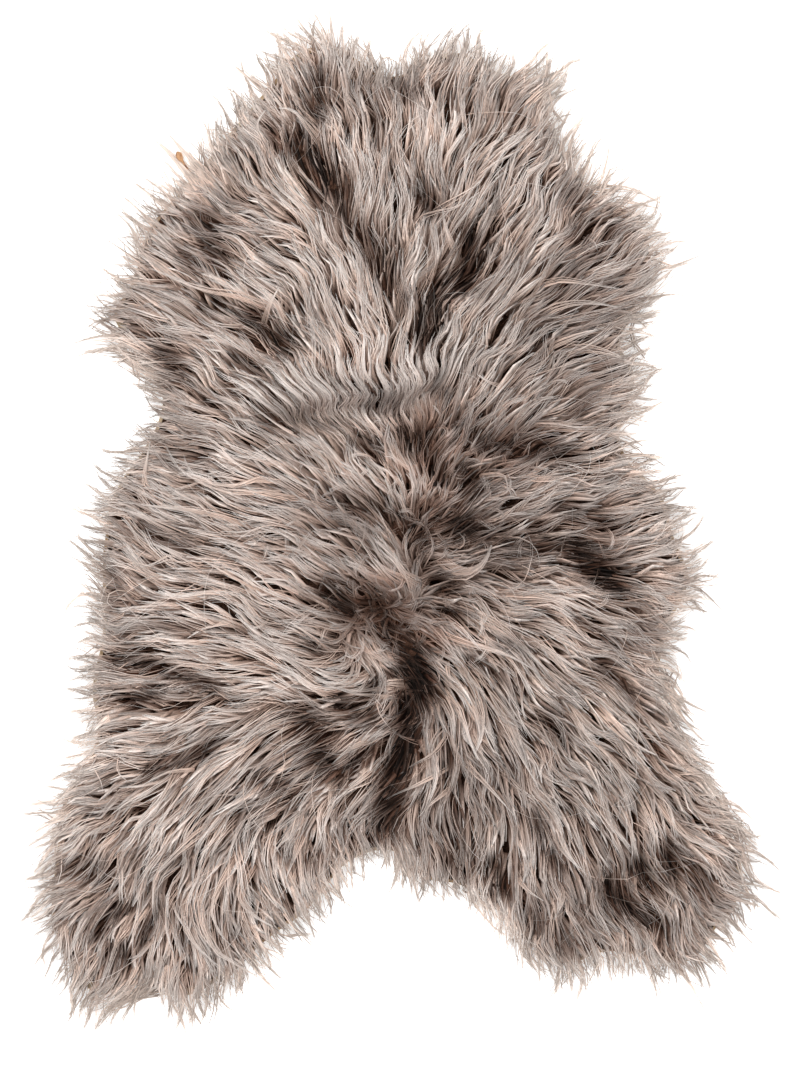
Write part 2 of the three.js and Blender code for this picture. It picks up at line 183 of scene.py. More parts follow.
# Where the wool as a whole is paler or darker: x, y, radius, how much
tonePlaces = [
    (330, 160, 70, 0.22), (270, 300, 60, 0.22), (370, 370, 45, 0.15), (240, 370, 40, 0.15),
    (240, 500, 45, 0.15), (240, 600, 60, 0.3), (300, 610, 40, 0.12), (235, 767, 40, 0.18),
    (567, 635, 35, 0.27), (433, 500, 25, 0.22), (233, 645, 30, 0.15), (440, 160, 42, 0.2),
    (505, 235, 30, 0.1), (567, 235, 30, 0.12), (495, 160, 30, 0.1), (367, 98, 34, -0.38),
    (225, 225, 35, -0.16), (600, 500, 48, -0.14), (640, 770, 36, -0.15), (362, 832, 24, -0.2),
    (440, 762, 24, -0.14), (567, 962, 28, -0.06), (97, 567, 24, -0.15), (97, 695, 26, -0.15),
    (567, 300, 45, -0.42), (567, 370, 40, -0.28), (633, 310, 35, -0.15), (500, 505, 40, -0.35),
    (440, 570, 35, -0.35), (500, 565, 35, -0.25), (633, 633, 30, -0.25), (500, 700, 35, -0.2),
    (500, 767, 40, -0.26), (433, 833, 35, -0.32), (567, 905, 45, -0.34), (700, 900, 35, -0.3),
    (160, 430, 35, -0.25), (110, 640, 40, -0.2), (100, 480, 35, -0.2), (233, 160, 30, -0.2),
    (358, 602, 38, -0.22), (415, 600, 34, -0.2), (350, 545, 38, -0.2), (415, 538, 34, -0.15),
    (400, 735, 28, -0.12), (415, 482, 32, 0.14), (350, 350, 36, 0.18), (290, 868, 34, 0.33),
    (225, 932, 42, 0.06), (160, 932, 40, 0.12), (490, 925, 26, 0.3), (130, 300, 30, -0.12),
    (500, 358, 30, -0.1), (485, 95, 30, -0.07), (165, 700, 30, 0.08), (115, 625, 26, 0.1),
    (105, 960, 24, 0.1), (410, 510, 20, 0.08),
]


# Places and directions


def smoothLoop(rows, stepsPerRow):
    # A closed Catmull-Rom curve through the rows
    rows = np.asarray(rows, float)
    before, after, beyond = np.roll(rows, 1, 0), np.roll(rows, -1, 0), np.roll(rows, -2, 0)
    t = (np.arange(stepsPerRow) / stepsPerRow)[None, :, None]
    p0, p1, p2, p3 = (a[:, None, :] for a in (before, rows, after, beyond))
    loop = p1 + 0.5 * t * (p2 - p0 + t * (2 * p0 - 5 * p1 + 4 * p2 - p3 + t * (3 * (p1 - p2) + p3 - p0)))
    return loop.reshape(-1, rows.shape[1])


def runOf(line):
    # How far along the line each of its points lies
    return np.concatenate([[0], np.cumsum(np.hypot(*np.diff(line[:, :2], axis=0).T))])


def onLine(line, at):
    # What the line's columns are at these distances along it
    run = runOf(line)
    return np.stack([np.interp(at, run, column) for column in line.T], -1)


def evenLoop(loop, pitch):
    # The same loop with its points an even distance apart
    closed = np.vstack([loop, loop[:1]])
    length = runOf(closed)[-1]
    return onLine(closed, np.linspace(0, length, int(length / pitch) + 1)[:-1])


def segmentDistance(points, a, b):
    along = ((points - a) @ (b - a)) / ((b - a) @ (b - a))
    nearest = a + np.clip(along, 0, 1)[:, None] * (b - a)
    return np.hypot(*(points - nearest).T)


def unit(vectors):
    return vectors / np.maximum(np.linalg.norm(vectors, axis=-1, keepdims=True), 1e-9)


def leftOf(headings):
    return np.stack([-headings[..., 1], headings[..., 0]], -1)


def turned(vectors, angle):
    c, s, x, y = np.cos(angle), np.sin(angle), vectors[..., 0], vectors[..., 1]
    return np.stack([c * x - s * y, s * x + c * y], -1)


def smoothstep(low, high, x):
    t = np.clip((x - low) / (high - low), 0, 1)
    return t * t * (3 - 2 * t)


def placed(rows):
    # A table in millimetres as an array in metres, with its places in the frame
    table = np.asarray(rows, float)
    table[:, :2] = table[:, :2] * mm + pelt["pictureCentre"]
    return table


def pictured(rows, columns=2, sized=False):
    # A table in pixels as an array in metres, with its places in the frame, and a width or radius after them
    table = np.asarray(rows, float)
    pixel, (wide, tall), (x, y) = pelt["pixel"], pelt["pictureSize"], pelt["pictureCentre"]
    for i in range(0, columns, 2):
        table[:, i] = (table[:, i] - wide / 2) * pixel + x
        table[:, i + 1] = (tall / 2 - table[:, i + 1]) * pixel + y
    if sized:
        table[:, columns] *= pixel
    return table


edgeTable = placed(edgeRows)
edgeTable[:, 2] *= mm
edgeLoop = evenLoop(smoothLoop(edgeTable, 12), pelt["edgePitch"])
heart = np.array(pelt["heart"]) + pelt["pictureCentre"]
combTable = np.vstack([placed(combRows), pictured(combTurns)])
hollowTable, tuftTable = pictured(hollows, 4, sized=True), pictured(tufts, 4, sized=True)
brownTable, toneTable = pictured(brownPlaces, sized=True), pictured(tonePlaces, sized=True)


def combAt(points):
    # The comb's direction: the mean of the rows, each by the nearness of its place
    headings = np.stack([np.cos(np.radians(combTable[:, 2])), np.sin(np.radians(combTable[:, 2]))], 1)
    away = ((points[..., None, :] - combTable[:, :2]) ** 2).sum(-1)
    weight = 1 / (away + pelt["combReach"] ** 2) ** 2
    return unit(weight @ headings)


def strokesAt(points, table):
    # How strongly the strokes of a table cover each place, 0 to about 1
    total = np.zeros(len(points))
    for row in table:
        away = segmentDistance(points, row[0:2], row[2:4]) / row[4]
        total = np.maximum(total, row[5] * np.exp(-pelt["strokeFade"] * away * away))
    return total


def spotsAt(points, table):
    # How strongly each round spot of a table covers each place
    away = np.hypot(points[:, None, 0] - table[:, 0], points[:, None, 1] - table[:, 1]) / table[:, 2]
    return table[:, 3] * np.exp(-away * away)


class PlaceMap:
    # Values on an even grid over the pelt, read between its points
    def __init__(self, low, pitch, values):
        self.low, self.pitch, self.values = np.asarray(low), pitch, values

    def at(self, points):
        rows, columns = self.values.shape[:2]
        x = np.clip((points[..., 0] - self.low[0]) / self.pitch, 0, columns - 1.001)
        y = np.clip((points[..., 1] - self.low[1]) / self.pitch, 0, rows - 1.001)
        i, j = x.astype(int), y.astype(int)
        fx, fy = x - i, y - j
        v = self.values
        near = v[j, i] * (1 - fx) + v[j, i + 1] * fx
        far = v[j + 1, i] * (1 - fx) + v[j + 1, i + 1] * fx
        return near * (1 - fy) + far * fy


def blurred(values, times):
    for _ in range(times):
        wider = np.pad(values, 1, mode="edge")
        values = (wider[:-2, 1:-1] + wider[2:, 1:-1] + wider[1:-1, :-2] + wider[1:-1, 2:] + 4 * values) / 8
    return values


def mapPelt():
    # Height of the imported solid's top, distance past the wool's edge, the wisps' reach there, and the shades
    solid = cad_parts[pelt["node"]].data
    tree = BVHTree.FromPolygons([v.co for v in solid.vertices], [p.vertices for p in solid.polygons])
    pitch = pelt["gridPitch"]
    low, high = (np.array(corner[:2]) for corner in cadBox)
    columns, rows = (np.ceil((high - low) / pitch).astype(int) + 1).tolist()
    xs, ys = low[0] + pitch * np.arange(columns), low[1] + pitch * np.arange(rows)
    height = np.zeros((rows, columns))
    down = Vector((0, 0, -1))
    for j, y in enumerate(ys):
        for i, x in enumerate(xs):
            hit = tree.ray_cast(Vector((x, y, 1)), down)[0]
            height[j, i] = hit.z if hit else 0
    places = np.stack(np.meshgrid(xs, ys), -1).reshape(-1, 2)
    away, reach = np.full(len(places), 9.0), np.zeros(len(places))
    inside = np.zeros(len(places), bool)
    for a, b in zip(edgeLoop, np.roll(edgeLoop, -1, 0)):
        d = segmentDistance(places, a[:2], b[:2])
        reach = np.where(d < away, a[2], reach)
        away = np.minimum(away, d)
        crosses = (places[:, 1] < a[1]) != (places[:, 1] < b[1])
        at = a[0] + (places[:, 1] - a[1]) * (b[0] - a[0]) / (b[1] - a[1] if b[1] != a[1] else 1e-9)
        inside ^= crosses & (places[:, 0] < at)
    past = np.where(inside, -away, away)

    def laid(values, blurs=0):
        return PlaceMap(low, pitch, blurred(values.reshape(rows, columns), blurs))

    hollow, tuft = strokesAt(places, hollowTable), strokesAt(places, tuftTable)
    dipped = 1 - pelt["hollowDip"] * np.clip(hollow, 0, 1)
    height = blurred(height, 3).ravel() * dipped + pelt["tuftRise"] * tuft
    pale = pelt["tuftPaler"] * tuft + spotsAt(places, toneTable).sum(1)
    brown = spotsAt(places, brownTable).max(1)
    return laid(height), laid(past), laid(reach, 6), laid(hollow), laid(pale), laid(brown)


heightMap, pastEdgeMap, reachMap, hollowMap, paleMap, brownMap = mapPelt()
print("pelt mapped:", heightMap.values.shape, "highest", round(float(heightMap.values.max()), 4))


# Nodes and colours


def linear(hexColour):
    parts = [int(hexColour[i : i + 2], 16) / 255 for i in (1, 3, 5)]
    return [c / 12.92 if c <= 0.04045 else ((c + 0.055) / 1.055) ** 2.4 for c in parts] + [1.0]


def addNode(tree, kind, links=None, **settings):
    # A node with its settings; links is {input name or number: output socket or value}
    node = tree.nodes.new(kind)
    for name, value in settings.items():
        setattr(node, name, value)
    for key, value in (links or {}).items():
        if isinstance(value, bpy.types.NodeSocket):
            tree.links.new(value, node.inputs[key])
        else:
            node.inputs[key].default_value = value
    return node


def multiplied(tree, a, b):
    return addNode(tree, "ShaderNodeMath", {0: a, 1: b}, operation="MULTIPLY").outputs[0]


def scaledColour(tree, colour, by):
    return addNode(tree, "ShaderNodeVectorMath", {0: colour, "Scale": by}, operation="SCALE").outputs[0]


def mixed(tree, share, a, b, how="MIX"):
    given = {"Factor": share, "A": a, "B": b}
    return addNode(tree, "ShaderNodeMix", given, data_type="RGBA", blend_type=how).outputs["Result"]


def noiseOf(tree, place, size, detail, output="Fac", distortion=0.0):
    given = {"Vector": place, "Scale": 1 / size, "Detail": detail, "Distortion": distortion}
    return addNode(tree, "ShaderNodeTexNoise", given).outputs[output]


def rangeOf(tree, value, fromMin, fromMax, toMin, toMax=1.0):
    given = {"Value": value, "From Min": fromMin, "From Max": fromMax, "To Min": toMin, "To Max": toMax}
    return addNode(tree, "ShaderNodeMapRange", given).outputs[0]


def rampOf(tree, value, stops):
    node = addNode(tree, "ShaderNodeValToRGB", {0: value})
    ramp = node.color_ramp
    ramp.interpolation = "EASE"
    while len(ramp.elements) < len(stops):
        ramp.elements.new(0.5)
    for element, (position, colour) in zip(ramp.elements, stops):
        element.position = position
        element.color = linear(colour)
    return node.outputs["Color"]


def startMaterial(name):
    material = bpy.data.materials.new(name)
    material.use_nodes = True
    tree = material.node_tree
    return material, tree, tree.nodes["Principled BSDF"]


def finishShader(tree, shader, colour, height, plan):
    # The colour and relief of the whole, with the roughness and gloss that the plan names
    tree.links.new(colour, shader.inputs["Base Color"])
    bump = addNode(tree, "ShaderNodeBump", {"Height": height, "Distance": plan["relief"]})
    tree.links.new(bump.outputs[0], shader.inputs["Normal"])
    shader.inputs["Roughness"].default_value = plan["roughness"]
    shader.inputs["Specular IOR Level"].default_value = plan["gloss"]


outerWool = {
    "root": "#34241C",
    "lower": "#906C5A",
    "middle": "#C9B1A3",
    "tip": "#CFC7C2",
    "brown": "#9C7056",
    "rim": "#DACBC0",
    "relief": 0.06 * mm,  # a coarse wool fibre
    "roughness": 0.55,
    "gloss": 0.14,
}

# Fibres drawn round a strand, which are fewer and coarser than real ones so that they show, and how far their
# shades part
fineFibres = {"name": "combedOuterWool", "count": 5, "darkest": 0.84, "palest": 1.13}
coarseFibres = {"name": "combedUnderLocks", "count": 9, "darkest": 0.45, "palest": 1.3}


def makeOuterWool(fibresDrawn):
    # Long outer wool, combed after tanning: dark at the root and bleached at the tip, with a faint gloss
    material, tree, shader = startMaterial(fibresDrawn["name"])
    along, shade, warm, rim, around = (
        addNode(tree, "ShaderNodeAttribute", attribute_name=name).outputs["Fac"]
        for name in ("along", "shade", "warm", "rim", "around")
    )
    places = {"root": 0.0, "lower": 0.13, "middle": 0.4, "tip": 1.0}
    grown = rampOf(tree, along, [(place, outerWool[name]) for name, place in places.items()])
    place = addNode(tree, "ShaderNodeCombineXYZ", {0: around, 1: along, 2: shade}).outputs[0]
    stretch = (fibresDrawn["count"], 3, 40)  # fibres round a strand, changes along it, and between strands
    stretched = addNode(tree, "ShaderNodeMapping", {"Vector": place, "Scale": stretch}, vector_type="POINT")
    fibres = noiseOf(tree, stretched.outputs[0], 1, 2.0)
    streaks = rangeOf(tree, fibres, 0.3, 0.7, fibresDrawn["darkest"], fibresDrawn["palest"])
    shaded = multiplied(tree, streaks, shade)
    # shade holds tone with painted light and shade; warm browns it where the undercoat shows, in the hollows
    # and where the painted shade is deep
    browned = mixed(tree, warm, scaledColour(tree, grown, shaded), linear(outerWool["brown"]), "MULTIPLY")
    paler = scaledColour(tree, linear(outerWool["rim"])[:3], shaded)
    finishShader(tree, shader, mixed(tree, rim, browned, paler), fibres, outerWool)
    return material


underWool = {
    "deep": "#24160F",
    "mid": "#64483A",
    "clump": 7 * mm,  # across a matted clump
    "fibre": 1.2 * mm,  # matted fibres, drawn ten times too coarse so that they show
    "relief": 1.2 * mm,
    "roughness": 0.95,
    "gloss": 0.1,
}


def makeUnderWool():
    # Short dense undercoat, matted by wear: dull and dark, so that it closes the gaps between the strands
    material, tree, shader = startMaterial("mattedUnderWool")
    place = addNode(tree, "ShaderNodeTexCoord").outputs["Object"]
    clumps = noiseOf(tree, place, underWool["clump"], 3.0)
    fibres = noiseOf(tree, place, underWool["fibre"], 4.0, distortion=1.5)
    matted = multiplied(tree, clumps, fibres)
    colour = rampOf(tree, matted, [(0.15, underWool["deep"]), (0.42, underWool["mid"])])
    finishShader(tree, shader, colour, fibres, underWool)
    return material


suede = {
    "pale": "#DEC9AA",
    "dark": "#C4A078",
    "nap": 0.8 * mm,  # tufts of the nap
    "blotch": 60 * mm,  # uneven tanning
    "vein": 38 * mm,
    "wander": 16 * mm,  # how far a vein strays from straight
    "relief": 0.2 * mm,
    "roughness": 0.9,
    "gloss": 0.2,
    "sheen": 0.3,
}


def makeSuede():
    # Alum-tanned flesh side, buffed to a nap: matt, cream to tan, with blotches and faint veins
    material, tree, shader = startMaterial("buffedFleshSide")
    place = addNode(tree, "ShaderNodeTexCoord").outputs["Object"]
    blotches = noiseOf(tree, place, suede["blotch"], 5.0)
    nap = noiseOf(tree, place, suede["nap"], 2.0)
    bends = noiseOf(tree, place, suede["vein"] / 0.8, 3.0, output="Color")
    straying = {0: bends, 1: [2 * suede["wander"]] * 3, 2: place}
    strayed = addNode(tree, "ShaderNodeVectorMath", straying, operation="MULTIPLY_ADD").outputs[0]
    cells = {"Vector": strayed, "Scale": 1 / suede["vein"]}
    edges = addNode(tree, "ShaderNodeTexVoronoi", cells, feature="DISTANCE_TO_EDGE").outputs["Distance"]
    veins, tufted = rangeOf(tree, edges, 0.0, 0.05, 0.88), rangeOf(tree, nap, 0.3, 0.7, 0.9, 1.04)
    tanned = rampOf(tree, blotches, [(0.3, suede["dark"]), (0.65, suede["pale"])])
    finishShader(tree, shader, scaledColour(tree, tanned, multiplied(tree, veins, tufted)), nap, suede)
    shader.inputs["Sheen Weight"].default_value = suede["sheen"]
    return material


bareHide = {
    "pale": "#B98B62",
    "dark": "#5E3A22",
    "grain": 1.5 * mm,
    "blotch": 5 * mm,
    "relief": 0.3 * mm,
    "roughness": 0.55,
    "gloss": 0.5,
}


def makeBareHide():
    # Skin that dried bare and hard past the wool: orange-brown, darker where it creased, faintly glossy
    material, tree, shader = startMaterial("driedBareHide")
    place = addNode(tree, "ShaderNodeTexCoord").outputs["Object"]
    blotches = noiseOf(tree, place, bareHide["blotch"], 4.0)
    grain = addNode(tree, "ShaderNodeTexVoronoi", {"Vector": place, "Scale": 1 / bareHide["grain"]})
    colour = rampOf(tree, blotches, [(0.35, bareHide["dark"]), (0.62, bareHide["pale"])])
    finishShader(tree, shader, colour, grain.outputs["Distance"], bareHide)
    return material


paper = {"colour": "#FBFBFB", "roughness": 0.95, "gloss": 0.1, "glow": 0.45}


def makePaper():
    # Seamless studio paper over a light table: plain, pale and matt, with next to no shadow
    material, tree, shader = startMaterial("studioPaper")
    shader.inputs["Base Color"].default_value = linear(paper["colour"])
    shader.inputs["Roughness"].default_value = paper["roughness"]
    shader.inputs["Specular IOR Level"].default_value = paper["gloss"]
    shader.inputs["Emission Color"].default_value = (1, 1, 1, 1)
    shader.inputs["Emission Strength"].default_value = paper["glow"]
    return material


outerWoolFinish = makeOuterWool(fineFibres)
underLockFinish = makeOuterWool(coarseFibres)
underWoolFinish = makeUnderWool()
suedeFinish = makeSuede()
bareHideFinish = makeBareHide()
paperFinish = makePaper()
print("materials made")


# Meshes


def inScene(name, data):
    thing = bpy.data.objects.new(name, data)
    bpy.context.scene.collection.objects.link(thing)
    return thing


def newObject(name, vertices, faces, finish):
    mesh = bpy.data.meshes.new(name)
    mesh.from_pydata(vertices, (), faces)
    mesh.update()
    mesh.materials.append(finish)
    return inScene(name, mesh)


def strandLines(name, paths):
    # The strands' centre lines as one mesh of edges, with what the sweep and the finish read on their points
    count, steps = paths["places"].shape[:2]
    mesh = bpy.data.meshes.new(name)
    mesh.vertices.add(count * steps)
    mesh.vertices.foreach_set("co", paths["places"].astype(np.float32).ravel())
    first = (np.arange(count)[:, None] * steps + np.arange(steps - 1)).ravel()
    mesh.edges.add(len(first))
    mesh.edges.foreach_set("vertices", np.stack([first, first + 1], 1).astype(np.int32).ravel())
    for attribute in ("along", "shade", "warm", "rim", "radius", "strand"):
        layer = mesh.attributes.new(attribute, "FLOAT", "POINT")
        layer.data.foreach_set("value", paths[attribute].astype(np.float32).ravel())
    return inScene(name, mesh)


def buildStrandSweep():
    # Sweeps each centre line into a closed, tapering strand, and lays it on its own strip of the map OFBake
    tree = bpy.data.node_groups.new("strandSweep", "GeometryNodeTree")
    face = tree.interface
    face.new_socket("Geometry", in_out="INPUT", socket_type="NodeSocketGeometry")
    inputs = {}
    for name in ("Sides", "Map Columns", "Map Rows", "Section", "Finish"):
        kind = {"Section": "Vector", "Finish": "Material"}.get(name, "Int")
        inputs[name] = face.new_socket(name, in_out="INPUT", socket_type="NodeSocket" + kind).identifier
    face.new_socket("Geometry", in_out="OUTPUT", socket_type="NodeSocketGeometry")
    given = addNode(tree, "NodeGroupInput").outputs

    def named(name):
        node = addNode(tree, "GeometryNodeInputNamedAttribute", {"Name": name}, data_type="FLOAT")
        return node.outputs["Attribute"]

    def worked(operation, a, b=0.0):
        return addNode(tree, "ShaderNodeMath", {0: a, 1: b}, operation=operation).outputs[0]

    lines = addNode(tree, "GeometryNodeMeshToCurve", {"Mesh": given["Geometry"]})
    level = addNode(tree, "GeometryNodeSetCurveNormal", {"Curve": lines.outputs[0]}, mode="Z_UP")
    ring = addNode(tree, "GeometryNodeCurvePrimitiveCircle", {"Resolution": given["Sides"], "Radius": 1.0})
    corner = addNode(tree, "GeometryNodeInputIndex").outputs[0]
    around = worked("DIVIDE", corner, worked("SUBTRACT", given["Sides"], 1.0))
    marking = {"Geometry": ring.outputs[0], "Name": "around", "Value": around}
    marked = addNode(tree, "GeometryNodeStoreNamedAttribute", marking)
    shaping = {"Geometry": marked.outputs[0], "Scale": given["Section"]}
    section = addNode(tree, "GeometryNodeTransform", shaping)
    sweeping = {"Curve": level.outputs[0], "Profile Curve": section.outputs[0], "Scale": named("radius")}
    swept = addNode(tree, "GeometryNodeCurveToMesh", {**sweeping, "Fill Caps": True})
    smooth = addNode(tree, "GeometryNodeSetShadeSmooth", {"Geometry": swept.outputs[0], "Shade Smooth": True})
    column = worked("FLOORED_MODULO", named("strand"), given["Map Columns"])
    row = worked("FLOOR", worked("DIVIDE", worked("ADD", named("strand"), 0.5), given["Map Columns"]))
    across = worked("ADD", worked("MULTIPLY", named("around"), 0.7), 0.15)
    upward = worked("ADD", worked("MULTIPLY", named("along"), 0.9), 0.05)
    u = worked("DIVIDE", worked("ADD", column, across), given["Map Columns"])
    v = worked("DIVIDE", worked("ADD", row, upward), given["Map Rows"])
    place = addNode(tree, "ShaderNodeCombineXYZ", {0: u, 1: v}).outputs[0]
    mapping = {"Geometry": smooth.outputs[0], "Name": "OFBake", "Value": place}
    mapped = addNode(tree, "GeometryNodeStoreNamedAttribute", mapping, data_type="FLOAT2", domain="CORNER")
    real = addNode(tree, "GeometryNodeRealizeInstances", {"Geometry": mapped.outputs[0]})
    finishing = {"Geometry": real.outputs[0], "Material": given["Finish"]}
    done = addNode(tree, "GeometryNodeSetMaterial", finishing)
    addNode(tree, "NodeGroupOutput", {"Geometry": done.outputs[0]})
    return tree, inputs


strandSweep, sweepInputs = buildStrandSweep()


def sweepStrands(name, paths, finish, section):
    count = len(paths["places"])
    paths["strand"] = np.repeat(np.arange(count)[:, None], paths["places"].shape[1], 1)
    lines = strandLines(name + "Lines", paths)
    sweep = lines.modifiers.new("sweep", "NODES")
    sweep.node_group = strandSweep
    columns = math.ceil(math.sqrt(count * 3))
    given = {"Sides": 3, "Map Columns": columns, "Map Rows": math.ceil(count / columns), "Section": section}
    for key, value in {**given, "Finish": finish}.items():
        sweep[sweepInputs[key]] = value
    bpy.context.view_layer.update()
    shown = bpy.context.evaluated_depsgraph_get()
    mesh = bpy.data.meshes.new_from_object(lines.evaluated_get(shown), depsgraph=shown)
    mesh.name = name
    bpy.data.objects.remove(lines)
    print(name, count, "strands,", len(mesh.polygons), "faces")
    return inScene(name, mesh)


def madeOfWool(thing):
    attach(thing, "root")
    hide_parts(pelt["node"])


def madeOfHide(thing):
    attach(thing, "root")
    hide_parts(pelt["node"])


def addWool(name, paths, finish=outerWoolFinish, section=(1.0, 0.7, 1.0)):
    madeOfWool(sweepStrands(name, paths, finish, section))


# Wool

strandSteps = np.array([0.0, 0.14, 0.32, 0.5, 0.68, 0.85, 1.0])  # shares of a strand's length, root to tip
ribbonSteps = np.array([0.0, 0.25, 0.5, 0.76, 1.0])

# What all wisps share. Shades are in natural logarithms, as their spreads are.
habit = {
    "swirl": 0.24,  # radians of the small swirls of real wool
    "phaseSwing": 2.6,  # radians that the waves' phase drifts over the pelt
    "waveMiddle": (10 * mm, -20 * mm),  # the waves go round this place
    "lockLengths": (0.72, 1.0),  # shares of the wisp's length
    "strandLengths": (0.86, 1.04),  # shares of the lock's length
    "strandWidths": (0.5, 1.25),  # shares of the plan's radius
    "taper": 0.45,  # the lower, the later a strand thins out towards its tip
    "lockWave": 0.5,  # how far a lock's own bend departs from its wisp's, in waves
    "rootScatter": 7 * mm,  # along the comb
    "layers": 3 * mm,  # up and down between wisps
    "slowLayers": 3.5 * mm,  # and between parts of the pelt
    "fullHeight": 40 * mm,  # wool lower than this has thinner layers
    "rimBlend": (-34 * mm, 26 * mm),  # distances past the edge over which wool takes the rim's colour
    "wispShade": 0.1,
    # painted light and shade along each lock, brighter at its crests and darker where it passes under others
    "lockCrestLight": 0.16,
    "slowShade": 0.16,
    # painted light: strands that lie higher are painted paler, lower ones darker
    "heightLight": 14,  # for each metre higher
    # Painted shade in the hollows, on top of the dark roots that show there
    "hollowShade": 1.75,
    "hollowMost": 1.95,
    "hollowBlur": 4 * mm,  # how raggedly a hollow's shade ends
    "hollowFrom": (0.1, 0.95),  # the strength from which a hollow darkens a strand in full
    "bridging": 0.82,  # strands with a higher number from that range cross the hollows undimmed
    "shadeLimits": (0.025, 1.4),
    "brownAll": 0.13,  # how brown all wool is, and what hollows and darkness, painted shade included, add to it
    "brownHollow": 0.7,
    "brownDark": 0.68,
    "brownMost": 0.95,
}


def driftMap(seed, pitch):
    # A slow random change over the pelt, mostly between -1 and 1, on a square that leaves a margin round it
    margin, side = 0.1, 1.45
    low = np.array(cadBox[0][:2]) - margin
    count = int(side / pitch) + 3
    return PlaceMap(low, pitch, np.random.default_rng(seed).normal(0, 0.6, (count, count)))


swirl = driftMap(3, 52 * mm)
phaseDrift = driftMap(4, 60 * mm)
layerDrift = driftMap(5, 21 * mm)
shadeDrift = driftMap(6, 26 * mm)


def flowAt(points):
    # The comb's direction with the small swirls of real wool
    return turned(combAt(points), habit["swirl"] * swirl.at(points))


def followComb(middles, lengths, curls, leans, steps=7):
    # Each wisp's middle line on the floor, drawn along the comb both ways from a place on it
    def walk(sense):
        line = [middles]
        for i in range(steps):
            heading = turned(flowAt(line[-1]), leans + curls * sense * (i + 0.5) / steps) * sense
            line.append(line[-1] + heading * (lengths / (2 * steps))[:, None])
        return line[1:]

    return np.stack(walk(-1)[::-1] + [middles] + walk(1), 1)


def cutToReach(line, allowed):
    # The share of each line that stays within its allowed reach past the edge
    past = pastEdgeMap.at(line)
    steps = line.shape[1] - 1
    share = np.ones(len(line))
    for i in range(steps, 0, -1):
        here, before = past[:, i], past[:, i - 1]
        t = np.clip((allowed - before) / np.where(here != before, here - before, 1), 0, 1)
        share = np.where(here > allowed, (i - 1 + t) / steps, share)
    return share


def alongLine(line, at):
    # Places at a share of each line's length; at is (lines, ...)
    steps = line.shape[1] - 1
    x = np.clip(at, 0, 1) * steps
    i = np.minimum(x.astype(int), steps - 1)
    f = (x - i)[..., None]
    index = np.arange(len(line)).reshape((-1,) + (1,) * (at.ndim - 1))
    return line[index, i] * (1 - f) + line[index, i + 1] * f


def waveAt(points, length):
    # Crimp: neighbours wave together, because the wave goes by distance from the middle of the pelt
    out = np.hypot(points[..., 0] - habit["waveMiddle"][0], points[..., 1] - habit["waveMiddle"][1])
    return np.sin(2 * math.pi * out / length + habit["phaseSwing"] * phaseDrift.at(points))


def scatter(spacing, inside, rng):
    # One place for each cell of a grid, moved about, at least so far inside the wool's edge
    low, high = np.array(cadBox[0][:2]), np.array(cadBox[1][:2])
    xs, ys = np.arange(low[0], high[0], spacing), np.arange(low[1], high[1], spacing)
    places = np.stack(np.meshgrid(xs, ys), -1).reshape(-1, 2)
    places = places + rng.uniform(0, spacing, places.shape)
    return places[pastEdgeMap.at(places) < -inside]


def keptLow(z, radius):
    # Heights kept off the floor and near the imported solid's top
    return np.clip(z, radius + pelt["floorGap"], cadBox[1][2] + pelt["mostAboveSolid"])


def strandPaths(flat, z, radius, along, shade, warm):
    # One row for each strand, root to tip, with what the sweep and the finish read
    size = (-1, flat.shape[-2])
    rim = smoothstep(*habit["rimBlend"], pastEdgeMap.at(flat))
    values = {"along": along, "shade": shade, "warm": warm, "rim": rim, "radius": radius}
    paths = {name: np.broadcast_to(value, z.shape).reshape(size) for name, value in values.items()}
    paths["places"] = np.concatenate([flat, z[..., None]], -1).reshape(size + (3,))
    return paths


def chosen(paths, keep):
    return {name: values[keep] for name, values in paths.items()}


